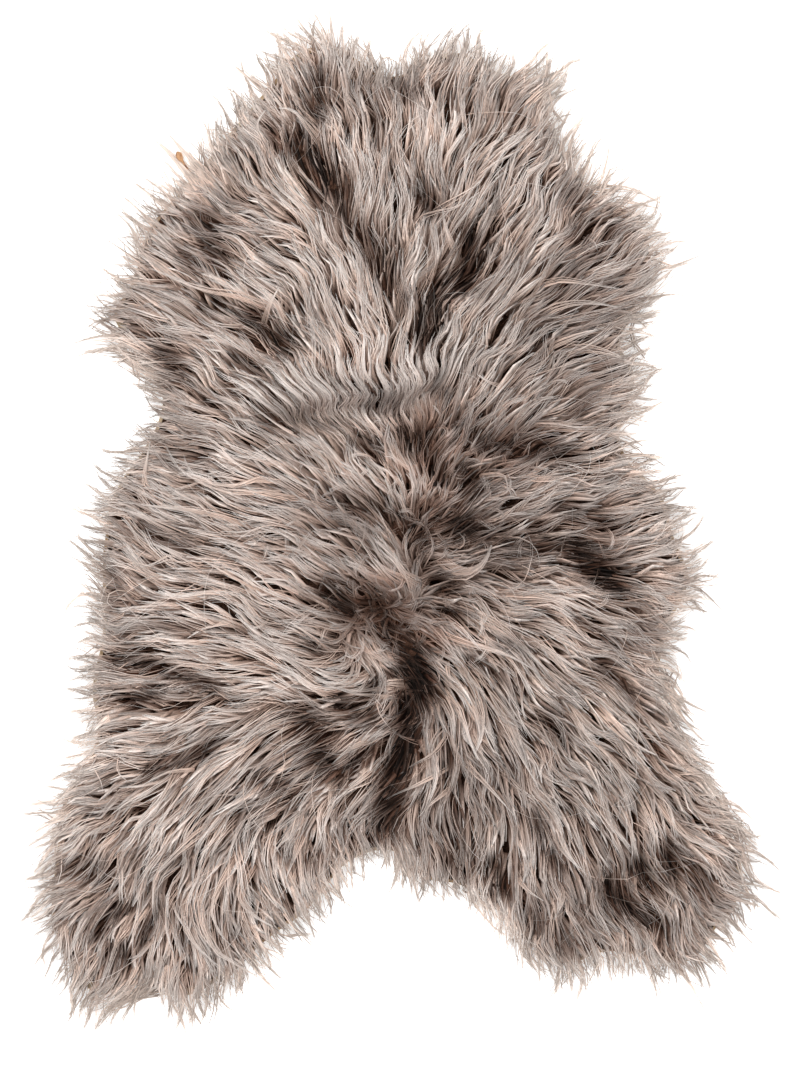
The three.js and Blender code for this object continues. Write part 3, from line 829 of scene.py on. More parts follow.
def growWisps(middles, plan, lengths, allowed, rng):
    # Strands in wisps of a few pointed locks
    count, strands, groups = len(middles), plan["strands"], plan["locks"]
    curls, leans = rng.normal(0, plan["curl"], count), rng.normal(0, plan["lean"], count)
    line = followComb(middles, lengths, curls, leans)
    share = cutToReach(line, allowed)
    member = rng.integers(0, groups, (count, strands))

    def perLock(values):
        return np.take_along_axis(values, member, 1)

    reach = perLock(rng.uniform(*habit["lockLengths"], (count, groups)))
    reach = reach * rng.uniform(*habit["strandLengths"], (count, strands))
    s = plan["steps"][None, None, :]
    middle = alongLine(line, s * reach[..., None] * share[:, None, None])
    heading = unit(np.gradient(middle, axis=2))
    lockTurn, lockOut = rng.uniform(0, 2 * math.pi, (2, count, groups))
    lockOut = np.sqrt(lockOut / (2 * math.pi))
    crestLight = perLock(rng.normal(0, habit["lockCrestLight"], (count, groups)))[..., None]
    turn, out = rng.uniform(0, 2 * math.pi, (count, strands)), np.sqrt(rng.uniform(0, 1, (count, strands)))

    # Across the wisp, and up and down in it: locks lie in a wisp as strands lie in a lock, and both close up
    wide = 1 - (1 - plan["tipSpread"]) * smoothstep(0.1, 1.0, s)
    narrow = 1 - (1 - plan["lockTip"]) * smoothstep(0.0, 0.9, s)
    lockAcross, lockDepth = perLock(lockOut * np.cos(lockTurn)), perLock(lockOut * np.sin(lockTurn))
    across = plan["width"] * lockAcross[..., None] * wide
    across = across + plan["lockWidth"] * (out * np.cos(turn))[..., None] * narrow
    across = across + rng.normal(0, plan["stray"], (count, strands))[..., None] * s**2
    depth = plan["thickness"] * (lockDepth[..., None] * wide + 0.5 * (out * np.sin(turn))[..., None] * narrow)
    wave = waveAt(middle, plan["waveLength"]) * rng.uniform(*plan["waveSpread"], (count, 1, 1))
    wave = wave + perLock(rng.normal(0, habit["lockWave"], (count, groups)))[..., None] * np.sin(5 * s)
    wave = plan["waveSize"] * wave * smoothstep(0.0, 0.35, s)
    flat = middle + leftOf(heading) * (across + wave)[..., None]
    flat = flat + heading * (rng.normal(0, habit["rootScatter"], (count, strands, 1)) * (1 - s))[..., None]

    # Height: from the root up to the pelt's top, with the tips lying in layers
    top = heightMap.at(flat)
    rise = 1 - (1 - s) ** plan["rise"]
    layer = rng.uniform(-1, 1, (count, 1, 1)) * habit["layers"]
    layer = layer + layerDrift.at(middles)[:, None, None] * habit["slowLayers"] + plan["lift"]
    z = plan["rootHeight"] + (top - plan["rootHeight"]) * rise
    z = z + (layer * s + depth) * np.clip(top / habit["fullHeight"], 0.1, 1)
    radius = (1 - s) ** habit["taper"] * rng.uniform(*habit["strandWidths"], (count, strands, 1))
    radius = np.maximum(plan["strandRadius"] * radius, plan["tipRadius"])

    # Shade: by wisp, lock, strand and place, with painted light along each lock and on higher strands, then
    # darker and browner down in the hollows, partly the roots' own colour and partly painted shade
    stops = rng.normal(0, habit["wispShade"], (count, 1, 1))
    # Painted light and shade along each lock: a wave of brightness, lit at a crest and shaded where it sinks
    # under its neighbours
    stops = stops + crestLight * np.sin(4.5 * s + perLock(lockTurn)[..., None])
    stops = stops + rng.normal(0, plan["strandShade"], (count, strands, 1))
    stops = stops + habit["slowShade"] * shadeDrift.at(flat)
    # How much of the hollows' painted shade each lock and strand takes; strands past the bridging share cross
    # them undimmed
    sunk = perLock(rng.uniform(*plan["hollowShadeSpread"], (count, groups)))[..., None]
    depthHere = hollowMap.at(flat + rng.normal(0, habit["hollowBlur"], (count, strands, 1, 2)))
    shadedFrom = rng.uniform(*habit["hollowFrom"], (count, strands, 1))
    shadedFrom = shadedFrom + 10 * np.clip(shadedFrom - habit["bridging"], 0, 1)
    hollow = sunk * depthHere * (0.4 + 1.1 * smoothstep(shadedFrom - 0.12, shadedFrom + 0.12, depthHere))
    hollow = np.minimum(hollow, habit["hollowMost"])
    # Painted light on strands that lie higher, and painted shade in the hollows
    stops = stops + habit["heightLight"] * layer * s - habit["hollowShade"] * hollow
    stops = stops + paleMap.at(flat) + plan["shade"]
    shade = np.clip(np.exp(stops), *habit["shadeLimits"])
    # Browner in the hollows and wherever the wool is darker, painted shade included, and at least as brown as
    # the undercoat's places
    warm = habit["brownHollow"] * hollow - habit["brownDark"] * stops + habit["brownAll"]
    warm = np.clip(warm, 0, habit["brownMost"]) * (1.1 - 0.35 * s)
    warm = np.maximum(brownMap.at(flat) * (1.15 - 0.6 * s), warm)
    along = plan["alongFrom"] + (1 - plan["alongFrom"]) * s
    return strandPaths(flat, keptLow(z, radius), radius, along, shade, warm)


# The band across the shoulders where the wool bends sharply to the left and back, with a painted shadow along
# its line; the line is in pixels
bendBand = {
    "line": [(270, 414), (310, 410), (345, 405), (385, 403), (408, 399), (425, 388), (455, 376)],
    "bend": 8.5 * mm,
    "bendSpread": (0.6, 1.3),
    "length": 57 * mm,
    "reach": 36 * mm,
    "stray": 2 * mm,  # of single strands from the line
    "wander": 5 * mm,  # of the line itself
    # the painted shadow along the line: how far it reaches, how dark and how brown
    "shadowReach": 11 * mm,
    "shade": 0.42,
    "warm": 0.4,
}


def bandBent(paths, rng):
    band = pictured(bendBand["line"])
    x, y = paths["places"][..., 0], paths["places"][..., 1]
    inside = smoothstep(band[0, 0], band[1, 0], x) * smoothstep(band[-1, 0], band[-2, 0], x)
    up = y - np.interp(x, *band.T) + rng.normal(0, bendBand["stray"], (len(x), 1))
    up = up + bendBand["wander"] * layerDrift.at(paths["places"])
    bend = bendBand["bend"] * rng.uniform(*bendBand["bendSpread"], (len(x), 1))
    near = np.exp(-((up / bendBand["reach"]) ** 2)) * inside
    # Painted shadow: strands near the line are darkened and browned where the bend turns them from the light
    dark = np.exp(-((up / bendBand["shadowReach"]) ** 2)) * inside
    paths["shade"] = paths["shade"] * np.exp(-bendBand["shade"] * dark)
    paths["warm"] = np.maximum(paths["warm"], bendBand["warm"] * dark)
    x += bend * near * np.sin(2 * math.pi * up / bendBand["length"])
    return paths


mainWool = {
    "steps": strandSteps,
    "spacing": 20.8 * mm,
    "inside": 4 * mm,  # least distance of a wisp's middle inside the edge
    "strands": 10,
    "locks": 2,
    "length": 112 * mm,
    "lengthSpread": 0.22,
    "lengthLimits": (0.6, 1.5),
    "reachSpread": (-0.1, 0.85),  # shares of the longest wisps' reach past the edge
    "width": 11 * mm,  # half of a wisp's root
    "lockWidth": 7.5 * mm,
    "tipSpread": 0.5,
    "lockTip": 0.16,
    "stray": 2.2 * mm,
    "thickness": 5 * mm,
    "strandRadius": 0.84 * mm,
    "tipRadius": 0.17 * mm,
    "rootHeight": 3.5 * mm,
    "rise": 2.7,
    "lift": -1 * mm,
    "waveLength": 80 * mm,
    "waveSize": 3.4 * mm,
    "waveSpread": (0.2, 1.4),
    "alongFrom": 0.0,  # where on a whole strand the shown part begins
    "hollowShadeSpread": (0.2, 1.6),  # how much of a hollow's shade each lock takes
    "curl": 0.28,  # radians that a wisp turns from its middle to its tip
    "lean": 0.12,  # radians off the comb, all along
    "strandShade": 0.11,
    "shade": 0.04,
    "seed": 11,
}


def growMainWool():
    rng = np.random.default_rng(mainWool["seed"])
    middles = scatter(mainWool["spacing"], mainWool["inside"], rng)
    spread = rng.normal(1, mainWool["lengthSpread"], len(middles)).clip(*mainWool["lengthLimits"])
    allowed = reachMap.at(middles) * rng.uniform(*mainWool["reachSpread"], len(middles))
    return bandBent(growWisps(middles, mainWool, mainWool["length"] * spread, allowed, rng), rng)


mainPaths = growMainWool()
bands = ["woolLegs", "woolRump", "woolBack", "woolShoulders", "woolNeck"]
order = np.argsort(mainPaths["places"][:, 0, 1], kind="stable")
for name, members in zip(bands, np.array_split(order, len(bands))):
    addWool(name, chosen(mainPaths, members))


# Broad, dark locks under the main wool
underRibbons = dict(
    mainWool,
    steps=ribbonSteps,
    spacing=16.3 * mm,
    strands=2,
    length=86 * mm,
    lengthRange=(0.7, 1.2),
    reachSpread=(-0.35, 0.12),
    width=7 * mm,
    strandRadius=4.1 * mm,
    tipRadius=0.4 * mm,
    thickness=4 * mm,
    lift=-5 * mm,
    shade=-0.06,
    strandShade=0.18,
    seed=17,
)


def growUnderRibbons():
    rng = np.random.default_rng(underRibbons["seed"])
    middles = scatter(underRibbons["spacing"], underRibbons["inside"], rng)
    lengths = underRibbons["length"] * rng.uniform(*underRibbons["lengthRange"], len(middles))
    allowed = reachMap.at(middles) * rng.uniform(*underRibbons["reachSpread"], len(middles))
    return growWisps(middles, underRibbons, lengths, allowed, rng)


addWool("underLocks", growUnderRibbons(), underLockFinish, (1.0, 0.3, 1.0))


# Wisps that end past the edge
rimWisps = dict(
    mainWool,
    pitch=12 * mm,
    depth=22 * mm,  # how far in from the edge the deepest stand
    strands=11,
    locks=1,
    length=105 * mm,
    reachSpread=(0.45, 1.35),
    width=2 * mm,
    lockWidth=7 * mm,
    lockTip=0.06,
    stray=1.2 * mm,
    thickness=4 * mm,
    strandRadius=0.75 * mm,
    tipRadius=0.12 * mm,
    waveSize=2.6 * mm,
    curl=0.5,
    lean=0.2,
    seed=29,
)

# Loose strands between them
rimHaze = dict(
    mainWool,
    steps=ribbonSteps,
    pitch=5 * mm,
    depth=30 * mm,
    strands=4,
    locks=4,
    length=85 * mm,
    reachSpread=(0.45, 1.2),
    width=6 * mm,
    lockWidth=2 * mm,
    stray=5 * mm,
    thickness=3 * mm,
    strandRadius=1.15 * mm,
    tipRadius=0.12 * mm,
    waveSize=2.5 * mm,
    curl=0.6,
    lean=0.3,
    shade=-0.1,
    seed=31,
)


def growRim(plan):
    rng = np.random.default_rng(plan["seed"])
    loop = evenLoop(edgeLoop, plan["pitch"])
    middles = loop[:, :2] - flowAt(loop[:, :2]) * rng.uniform(0, plan["depth"], (len(loop), 1))
    allowed = loop[:, 2] * rng.uniform(*plan["reachSpread"], len(loop))
    return growWisps(middles, plan, np.full(len(loop), plan["length"]), allowed, rng)


addWool("rimWisps", growRim(rimWisps))
addWool("rimHaze", growRim(rimHaze))


# Finer wool that shows the bends of the band across the shoulders
crimpedWool = dict(
    mainWool,
    steps=np.linspace(0, 1, 12),
    wisps=56,
    scatter=(2 * mm, 8 * mm),  # along the band and across it
    strands=9,
    hollowShadeSpread=(0.0, 0.4),
    lengthRange=(0.8, 1.2),
    width=4 * mm,
    lockWidth=3 * mm,
    stray=0.8 * mm,
    thickness=4 * mm,
    lift=6.5 * mm,
    waveSize=0.6 * mm,
    alongFrom=0.22,
    curl=0.08,
    lean=0.04,
    seed=43,
)


def growCrimpedWool():
    rng = np.random.default_rng(crimpedWool["seed"])
    count = crimpedWool["wisps"]
    band = pictured(bendBand["line"])
    across = np.linspace(band[0, 0], band[-1, 0], count) + rng.normal(0, crimpedWool["scatter"][0], count)
    upward = np.interp(across, *band.T) + rng.normal(0, crimpedWool["scatter"][1], count)
    lengths = crimpedWool["length"] * rng.uniform(*crimpedWool["lengthRange"], count)
    middles = np.column_stack([across, upward])
    return bandBent(growWisps(middles, crimpedWool, lengths, np.zeros(count), rng), rng)


addWool("crimpedWool", growCrimpedWool())


# Locks drawn one by one where they catch the eye: half width and strands, then root to tip in the photograph
drawnLocks = [
    (9, 22, (437, 560), (450, 571), (468, 573), (483, 562), (490, 545)),
    (4, 6, (466, 523), (496, 521), (517, 504), (543, 495)), (4, 6, (441, 482), (453, 466), (460, 451)),
    (4, 6, (475, 472), (481, 457), (498, 448)), (3, 5, (479, 476), (502, 476), (506, 493)),
    (4, 6, (515, 476), (547, 480), (579, 473)), (2, 2, (487, 538), (517, 538), (534, 548), (538, 567)),
    (3, 5, (525, 538), (579, 531), (590, 522)), (8, 12, (428, 626), (462, 640), (504, 652), (536, 671)),
    (6, 9, (453, 606), (494, 623), (517, 642), (547, 671)), (7, 10, (489, 590), (543, 595), (600, 614)),
    (5, 8, (428, 586), (403, 572), (394, 552)), (8, 12, (390, 588), (368, 577), (351, 563)),
    (6, 9, (410, 585), (388, 572), (374, 558)), (8, 12, (366, 633), (377, 652), (399, 665)),
    (7, 12, (411, 690), (386, 691), (355, 690), (334, 684)), (5, 8, (411, 683), (386, 681), (371, 694)),
    (5, 8, (438, 689), (451, 712), (453, 735)), (3, 5, (446, 660), (448, 675), (459, 683)),
    (8, 12, (464, 680), (478, 710), (479, 735), (473, 750)),
    (5, 8, (489, 694), (502, 719), (514, 744), (532, 776)), (2, 2, (377, 690), (380, 710), (391, 727)),
    (4, 7, (379, 738), (359, 742), (345, 751), (332, 764)), (4, 6, (380, 763), (364, 774), (343, 791)),
    (5, 9, (332, 769), (334, 787), (329, 812), (321, 832)),
    (3, 4, (448, 728), (436, 746), (414, 763), (400, 774)),
    (4, 6, (452, 765), (425, 778), (400, 792), (381, 802)), (3, 4, (452, 783), (432, 799), (417, 816)),
    (4, 6, (457, 754), (475, 771), (493, 789), (512, 810)), (2, 3, (439, 694), (439, 714), (449, 733)),
    (5, 8, (414, 797), (411, 821), (416, 851)), (3, 4, (514, 869), (525, 885), (542, 897)),
    (5, 8, (652, 792), (671, 819), (690, 838), (722, 845)), (6, 9, (595, 704), (625, 737), (654, 753)),
    (3, 4, (643, 865), (664, 886), (688, 904)), (6, 9, (553, 817), (560, 842), (577, 863)),
    (6, 9, (553, 878), (559, 895), (553, 916)), (5, 7, (704, 801), (732, 803), (756, 822)),
    (4, 5, (706, 910), (724, 928), (734, 949)),
    (7, 12, (218, 858), (201, 887), (204, 920), (218, 948), (258, 979)),
    (5, 8, (204, 869), (187, 899), (189, 924), (204, 948), (229, 972)),
    (6, 9, (256, 860), (242, 887), (251, 909), (273, 925)),
    (4, 6, (240, 852), (217, 895), (220, 924), (235, 945)),
    (4, 6, (188, 879), (171, 903), (171, 928), (178, 952)), (4, 6, (152, 901), (137, 924), (134, 950)),
    (3, 5, (136, 922), (115, 948), (110, 973)), (6, 9, (226, 816), (200, 832), (175, 854), (150, 880)),
    (5, 8, (306, 824), (295, 854), (287, 875)), (3, 4, (197, 768), (171, 770), (147, 781)),
    (1.5, 2, (122, 750), (121, 768), (131, 778)), (1.5, 2, (90, 757), (102, 777), (106, 790)),
    (4, 6, (296, 491), (268, 480), (241, 488), (212, 484), (191, 472), (185, 455)),
    (4, 6, (314, 496), (280, 499), (259, 491), (232, 493), (205, 484), (180, 468), (166, 444)),
    (3, 4, (160, 497), (146, 482), (148, 461), (151, 441)),
    (4, 6, (261, 528), (205, 511), (160, 507), (124, 502)),
    (6, 9, (206, 544), (169, 527), (142, 515), (111, 506)),
    (3, 4, (163, 557), (142, 541), (132, 525), (123, 515)),
    (4, 5, (197, 562), (173, 557), (160, 563), (143, 567)),
    (1.5, 2, (134, 591), (116, 590), (107, 599), (116, 609), (131, 606)),
    (3, 4, (270, 596), (241, 581), (214, 565), (186, 551)), (2, 2, (277, 592), (264, 577), (259, 567)),
    (3, 5, (331, 653), (312, 634), (290, 619)),
    (4, 7, (272, 312), (245, 300), (205, 292), (165, 276), (149, 268)),
    (3, 5, (262, 328), (270, 312), (281, 291)), (6, 10, (276, 165), (262, 142), (257, 126), (266, 112)),
    (5, 8, (328, 152), (309, 128), (294, 114), (280, 111)),
    (3, 4, (408, 76), (404, 56), (411, 38), (425, 27)), (2, 3, (379, 67), (381, 56), (391, 56), (402, 67)),
    (3, 4, (423, 219), (451, 206), (476, 191), (487, 174)),
    (3, 4, (422, 245), (420, 225), (429, 216), (454, 213), (478, 198)),
    (5, 8, (458, 266), (446, 238), (442, 213)), (4, 6, (433, 147), (429, 124), (433, 104)),
    (4, 6, (397, 136), (394, 113), (397, 90)), (5, 8, (590, 188), (619, 187), (638, 190), (666, 204)),
    (4, 5, (617, 198), (640, 202), (664, 208)), (4, 5, (649, 262), (672, 266), (693, 261)),
    (4, 5, (652, 255), (672, 250), (682, 240)), (4, 5, (617, 328), (640, 330), (659, 337)),
    (5, 7, (528, 327), (551, 312), (583, 305), (620, 309)),
    (5, 7, (532, 292), (554, 284), (583, 287), (620, 291)), (5, 7, (546, 352), (576, 339), (603, 329)),
    (5, 7, (564, 354), (583, 350), (612, 355), (638, 368)), (2, 2, (583, 237), (592, 244), (596, 256)),
    (10, 34, (222, 208), (203, 188), (184, 166), (154, 138)),
    (7, 18, (218, 190), (200, 170), (184, 152), (167, 132)),
    (7, 18, (222, 200), (207, 181), (194, 164), (176, 140)),
    (3, 6, (200, 200), (185, 188), (172, 178), (164, 168)),
    (3, 6, (196, 200), (184, 190), (168, 185), (158, 170)),
]

drawn = {
    "more": 1.5,  # strands drawn for each one counted in the table
    "reach": (0.8, 1.04),  # shares of the lock's length
    "end": 0.12,  # share of its width that a lock keeps at its tip
    "lift": 4 * mm,
    "sunk": 14 * mm,
    "fullHeight": 30 * mm,
    "strandRadius": 0.72 * mm,
    "radiusSpread": (0.6, 1.1),
    "tipRadius": 0.14 * mm,
    "along": (0.25, 0.95),  # where on a whole strand the shown part begins and ends
    "shade": 0.16,
    "strandShade": 0.16,
    "hollowShade": 0.8,
    "paleShare": 0.6,  # how much of its place's paleness and brown it takes
    "brownShare": 0.6,
    "seed": 53,
}


def growDrawnLocks():
    rng = np.random.default_rng(drawn["seed"])
    s = strandSteps
    flats, shares = [], []
    for halfWidth, counted, *points in drawnLocks:
        strands = round(counted * drawn["more"])
        path = pictured(points)
        fine = smoothLoop(np.vstack([path, path[-1:], path[:1]]), 8)[: (len(path) - 1) * 8 + 1]
        middle = onLine(fine, rng.uniform(*drawn["reach"], strands)[:, None] * s * runOf(fine)[-1])
        spindle = drawn["end"] + (1 - drawn["end"]) * (1 - smoothstep(0.15, 1.0, s))
        offset = rng.uniform(-1, 1, strands)[:, None] * halfWidth * pelt["pixel"] * spindle
        flats.append(middle + leftOf(unit(np.gradient(middle, axis=1))) * offset[..., None])
        shares.append(rng.uniform(0.1, 1.0, strands))
    flat, share = np.concatenate(flats), np.concatenate(shares)[:, None]
    top = heightMap.at(flat)
    rise = drawn["lift"] * share * np.sin(math.pi * np.clip(0.15 + s, 0, 1)) - drawn["sunk"] * (1 - s) ** 3
    radius = drawn["strandRadius"] * (1 - s) ** 0.5 * rng.uniform(*drawn["radiusSpread"], (len(flat), 1))
    radius = np.maximum(radius, drawn["tipRadius"])
    z = top + rise * np.clip(top / drawn["fullHeight"], 0.15, 1)
    stops = drawn["shade"] + rng.normal(0, drawn["strandShade"], (len(flat), 1))
    # darker as painted shade in the hollows, paler where the place is paler
    stops = stops - drawn["hollowShade"] * hollowMap.at(flat) + drawn["paleShare"] * paleMap.at(flat)
    shade, warm = np.clip(np.exp(stops), 0.1, 1.4), drawn["brownShare"] * brownMap.at(flat)
    along = drawn["along"][0] + (drawn["along"][1] - drawn["along"][0]) * s
    return strandPaths(flat, keptLow(z, radius), radius, along, shade, warm)


addWool("drawnLocks", growDrawnLocks())


# Short curly locks of the brown middle, where no long wool hides them
centreCurls = dict(
    mainWool,
    wisps=240,
    scatter=0.7,  # of a brown place's radius
    strands=7,
    locks=1,
    length=42 * mm,
    lengthRange=(0.6, 1.5),
    width=2 * mm,
    lockWidth=4.5 * mm,
    lockTip=0.3,
    stray=1.5 * mm,
    strandRadius=0.62 * mm,
    lift=1.5 * mm,
    waveLength=34 * mm,
    waveSize=2.4 * mm,
    hollowShadeSpread=(0.1, 0.9),
    lean=0.8,
    curl=1.3,
    seed=37,
)


def growCentreCurls():
    rng = np.random.default_rng(centreCurls["seed"])
    count = centreCurls["wisps"]
    weight = brownTable[:, 3] * brownTable[:, 2]
    row = rng.choice(len(brownTable), count, p=weight / weight.sum())
    places, radii = brownTable[row, :2], brownTable[row, 2, None]
    middles = places + rng.normal(0, centreCurls["scatter"], (count, 2)) * radii
    lengths = centreCurls["length"] * rng.uniform(*centreCurls["lengthRange"], count)
    return growWisps(middles, centreCurls, lengths, np.zeros(count), rng)


addWool("centreCurls", growCentreCurls())


# Single strands that cross the comb and curl
flyaways = {
    "spacing": 14 * mm,
    "inside": 25 * mm,
    "count": 460,
    "points": 8,
    "length": 100 * mm,
    "lengthRange": (0.5, 1.5),
    "reach": 0.6,  # share of the longest wisps' reach past the edge
    "lean": 0.4,
    "bend": 0.8,
    "crimp": 0.25,
    "pace": 0.9,
    "paceRange": (0.7, 1.3),
    "lift": 7 * mm,
    "sunk": 9 * mm,
    "fullHeight": 30 * mm,
    "strandRadius": 0.36 * mm,
    "radiusSpread": (0.7, 1.2),
    "tipRadius": 0.16 * mm,
    "alongFrom": 0.35,
    "shade": 0.25,
    "strandShade": 0.22,
    "hollowShade": 1.3,
    "seed": 41,
}


def growFlyaways():
    plan = flyaways
    rng = np.random.default_rng(plan["seed"])
    places = scatter(plan["spacing"], plan["inside"], rng)
    starts = places[rng.permutation(len(places))[: plan["count"]]]
    count, steps = len(starts), plan["points"] - 1
    lean, bend = rng.normal(0, plan["lean"], count), rng.normal(0, plan["bend"], count)
    length = plan["length"] * rng.uniform(*plan["lengthRange"], count)
    phase, pace = rng.uniform(0, 2 * math.pi, count), plan["pace"] * rng.uniform(*plan["paceRange"], count)
    line = [starts]
    for i in range(steps):
        turn = lean + bend * (i / steps) + plan["crimp"] * np.sin(phase + pace * i)
        line.append(line[-1] + turned(flowAt(line[-1]), turn) * (length / steps)[:, None])
    flat = np.stack(line, 1)
    s = np.linspace(0, 1, steps + 1)[None, :]
    lift = plan["lift"] * rng.uniform(0.1, 1.0, (count, 1)) * np.sin(math.pi * np.clip(s * 1.1, 0, 1)) ** 0.7
    top = heightMap.at(flat)
    z = top + (lift - plan["sunk"] * (1 - s) ** 2) * np.clip(top / plan["fullHeight"], 0.1, 1)
    radius = plan["strandRadius"] * (1 - s) ** 0.4 * rng.uniform(*plan["radiusSpread"], (count, 1))
    radius = np.maximum(radius, plan["tipRadius"])
    stops = plan["shade"] + rng.normal(0, plan["strandShade"], (count, 1))
    # darker as painted shade in the hollows, paler where the place is paler
    stops = stops - plan["hollowShade"] * hollowMap.at(flat) + paleMap.at(flat)
    shade = np.clip(np.exp(stops), 0.07, 1.4)
    along = plan["alongFrom"] + (1 - plan["alongFrom"]) * s
    paths = strandPaths(flat, keptLow(z, radius), radius, along, shade, brownMap.at(flat))
    return chosen(paths, (pastEdgeMap.at(flat) < plan["reach"] * reachMap.at(flat)).all(1))


addWool("flyaways", growFlyaways())


# Undercoat and skin


def loopInside(inset, count):
    # A loop that stays this far inside the wool's edge, clockwise, and in plain sight of the pelt's heart
    angles = -np.linspace(0, 2 * math.pi, count, endpoint=False)
    ways = np.stack([np.cos(angles), np.sin(angles)], 1)
    lengths = np.arange(40 * mm, 800 * mm, 2 * mm)  # tried one by one, until one comes too near the edge
    places = heart + ways[:, None, :] * lengths[None, :, None]
    reach = lengths[np.argmax(pastEdgeMap.at(places) > -inset, axis=1)]
    for _ in range(3):
        reach = (np.roll(reach, 1) + np.roll(reach, -1) + 2 * reach) / 4
    return heart + ways * reach[:, None]


def closedPlate(name, plan, top, bottom, finish):
    # A plate that fills a loop: rings from its heart to its edge, a top, a bottom and a joined rim
    loop, rings, rim = loopInside(plan["inset"], plan["points"]), plan["rings"], plan["points"]
    shares = np.linspace(0, 1, rings + 1)[1:]
    flat = np.concatenate([heart[None]] + [heart + (loop - heart) * share for share in shares])
    half = len(flat)
    vertices = np.vstack([np.column_stack([flat, np.broadcast_to(z(flat), half)]) for z in (top, bottom)])
    faces = []
    for i in range(rim):
        j = (i + 1) % rim
        faces.append((0, 1 + j, 1 + i))
        faces.append((half, half + 1 + i, half + 1 + j))
        for r in range(rings - 1):
            a, b = 1 + r * rim, 1 + (r + 1) * rim
            faces.append((a + i, a + j, b + j, b + i))
            faces.append((half + a + j, half + a + i, half + b + i, half + b + j))
        last = 1 + (rings - 1) * rim
        faces.append((last + i, last + j, half + last + j, half + last + i))
    thing = newObject(name, vertices.tolist(), faces, finish)
    thing.data.shade_smooth()
    return thing, loop


skin = {"inset": 14 * mm, "thickness": 2.4 * mm, "rings": 6, "points": 360}


def skinTop(flat):
    return pelt["floorGap"] + skin["thickness"]


def skinBottom(flat):
    return pelt["floorGap"]


skinPiece, skinLoop = closedPlate("tannedSkin", skin, skinTop, skinBottom, suedeFinish)
madeOfHide(skinPiece)


bareTip = {
    "place": (-236, 407),  # its middle, in millimetres like the tables above
    "heading": math.radians(130),
    "length": 34 * mm,
    "width": 8.5 * mm,
    "neck": 0.24,  # share of the width where it leaves the wool
    "wander": 1.5 * mm,  # how far it strays from straight
    "thickness": 2.5 * mm,
    "curl": 8 * mm,  # how far the drying has lifted its end
    "rows": 16,
    "columns": 8,
}


def buildBareTip():
    # A tongue of skin with a rounded end, thinner at its edges, curled up a little as it dried
    rows, columns = bareTip["rows"], bareTip["columns"]
    u, v = np.meshgrid(np.linspace(0, 1, rows), np.linspace(-1, 1, columns), indexing="ij")
    rounding = np.sqrt(np.clip(1 - np.clip((u - 0.8) / 0.2, 0, 1) ** 2, 0.02, 1))
    wide = (bareTip["neck"] + (1 - bareTip["neck"]) * smoothstep(0.6, 0.85, u)) * rounding
    forward = (u - 0.5) * bareTip["length"]
    sideways = v * wide * bareTip["width"] / 2 + bareTip["wander"] * np.sin(4 * u)
    ahead = np.array([math.cos(bareTip["heading"]), math.sin(bareTip["heading"])])
    flat = placed([bareTip["place"]])[0] + forward[..., None] * ahead + sideways[..., None] * leftOf(ahead)
    bottom = 0.4 * mm + bareTip["curl"] * u**2 * (0.6 + 0.4 * v**2) + 0.5 * mm * np.sin(9 * u + 2 * v) ** 2
    top = bottom + bareTip["thickness"] * (1 - 0.6 * v**4) * (1 - 0.5 * u**6)
    points = np.concatenate([np.dstack([flat, top]).reshape(-1, 3), np.dstack([flat, bottom]).reshape(-1, 3)])
    half = rows * columns
    faces = []
    for i in range(rows - 1):
        for j in range(columns - 1):
            a, b = i * columns + j, (i + 1) * columns + j
            faces.append((a, b, b + 1, a + 1))
            faces.append((half + a, half + a + 1, half + b + 1, half + b))
        for a, b in ((i * columns, (i + 1) * columns), ((i + 2) * columns - 1, (i + 1) * columns - 1)):
            faces.append((a, half + a, half + b, b))
    for j in range(columns - 1):
        last = (rows - 1) * columns + j
        faces.append((j, j + 1, half + j + 1, half + j))
        faces.append((last + 1, last, half + last, half + last + 1))
    thing = newObject("bareTip", points.tolist(), faces, bareHideFinish)
    thing.data.shade_smooth()
    rounded = thing.modifiers.new("rounded", "SUBSURF")
    rounded.levels = rounded.render_levels = 1
    return thing


bareTipPiece = buildBareTip()
madeOfHide(bareTipPiece)
print("bareTip", len(bareTipPiece.data.polygons), "faces")


undercoat = {
    "inset": 18 * mm,
    "share": 0.42,  # of the wool's height
    "slope": (-34 * mm, -70 * mm),  # distances past the edge between which it rises
    "floor": 3.0 * mm,
    "thickness": 1 * mm,  # where it is thinnest
    "rings": 9,
    "points": 270,
}


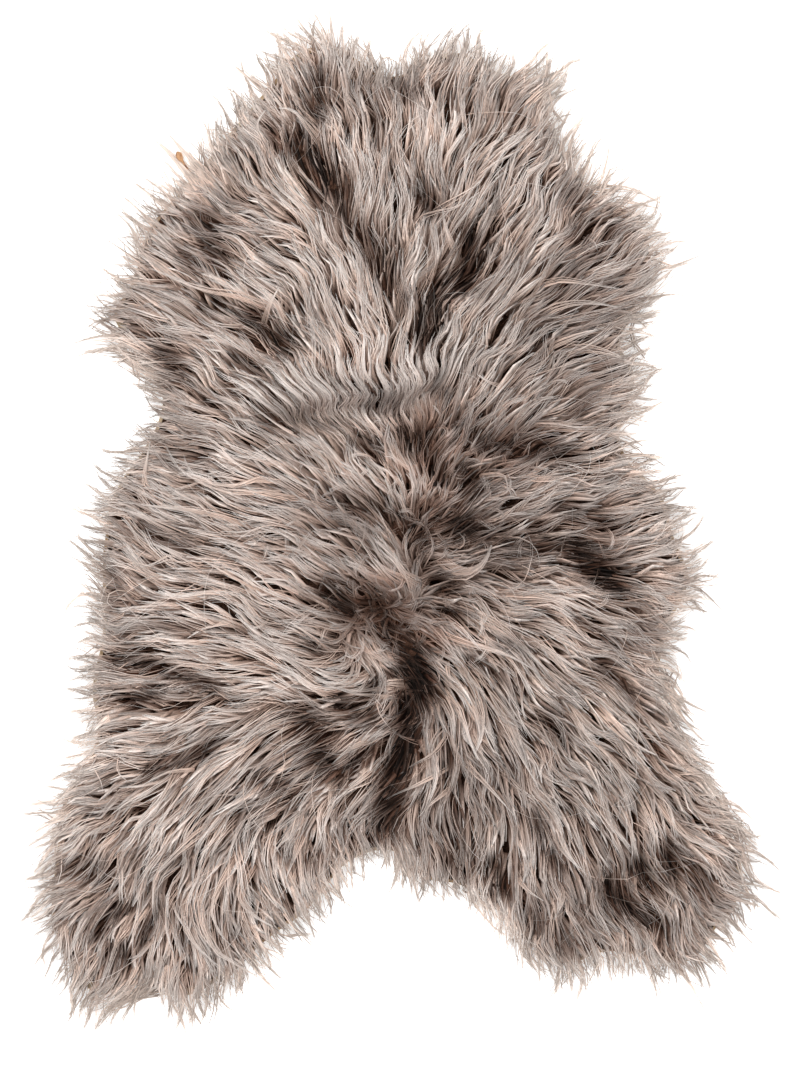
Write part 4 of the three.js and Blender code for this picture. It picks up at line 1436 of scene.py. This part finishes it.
def undercoatTop(flat):
    sloped = heightMap.at(flat) * undercoat["share"] * smoothstep(*undercoat["slope"], pastEdgeMap.at(flat))
    return np.maximum(sloped, undercoat["floor"] + undercoat["thickness"])


def undercoatBottom(flat):
    return undercoat["floor"]


undercoatPiece, _ = closedPlate("woolUndercoat", undercoat, undercoatTop, undercoatBottom, underWoolFinish)
madeOfWool(undercoatPiece)
print("woolUndercoat", len(undercoatPiece.data.polygons), "faces")


# Floor, lights and camera

studio = {
    "floorSize": 8.0,
    "skyStrength": 1.05,
    "key": {"place": (-0.9, 1.2, 2.5), "size": 1.2, "watts": 44},
    "fill": {"place": (1.6, -0.8, 2.4), "size": 2.0, "watts": 16},
}

half = studio["floorSize"] / 2
corners = [(-half, -half, 0), (half, -half, 0), (half, half, 0), (-half, half, 0)]
floor = newObject("paperFloor", corners, [(0, 1, 2, 3)], paperFinish)

world = bpy.data.worlds.new("softRoom")
bpy.context.scene.world = world
world.use_nodes = True
sky = world.node_tree.nodes["Background"]
sky.inputs["Color"].default_value = (1, 1, 1, 1)
sky.inputs["Strength"].default_value = studio["skyStrength"]

for name in ("key", "fill"):
    lamp = bpy.data.lights.new(name + "Softbox", "AREA")
    lamp.size = studio[name]["size"]
    lamp.energy = studio[name]["watts"]
    softbox = inScene(name + "Softbox", lamp)
    softbox.location = studio[name]["place"]
    softbox.rotation_euler = (-Vector(studio[name]["place"])).to_track_quat("-Z", "Y").to_euler()

# The camera stands so far off that the photograph's scale is right at this height in the wool
view = {"lens": 85, "sensor": 36, "planeHeight": 12 * mm}

camera = bpy.data.cameras.new("overheadCamera")
camera.lens = view["lens"]
camera.sensor_width = view["sensor"]
cameraObject = inScene("overheadCamera", camera)
pictureTall = pelt["pictureSize"][1] * pelt["pixel"]
away = pictureTall * view["lens"] / view["sensor"] + view["planeHeight"]
cameraObject.location = (*pelt["pictureCentre"], away)
bpy.context.scene.camera = cameraObject
bpy.context.scene.view_settings.view_transform = "Standard"
print("studio set")
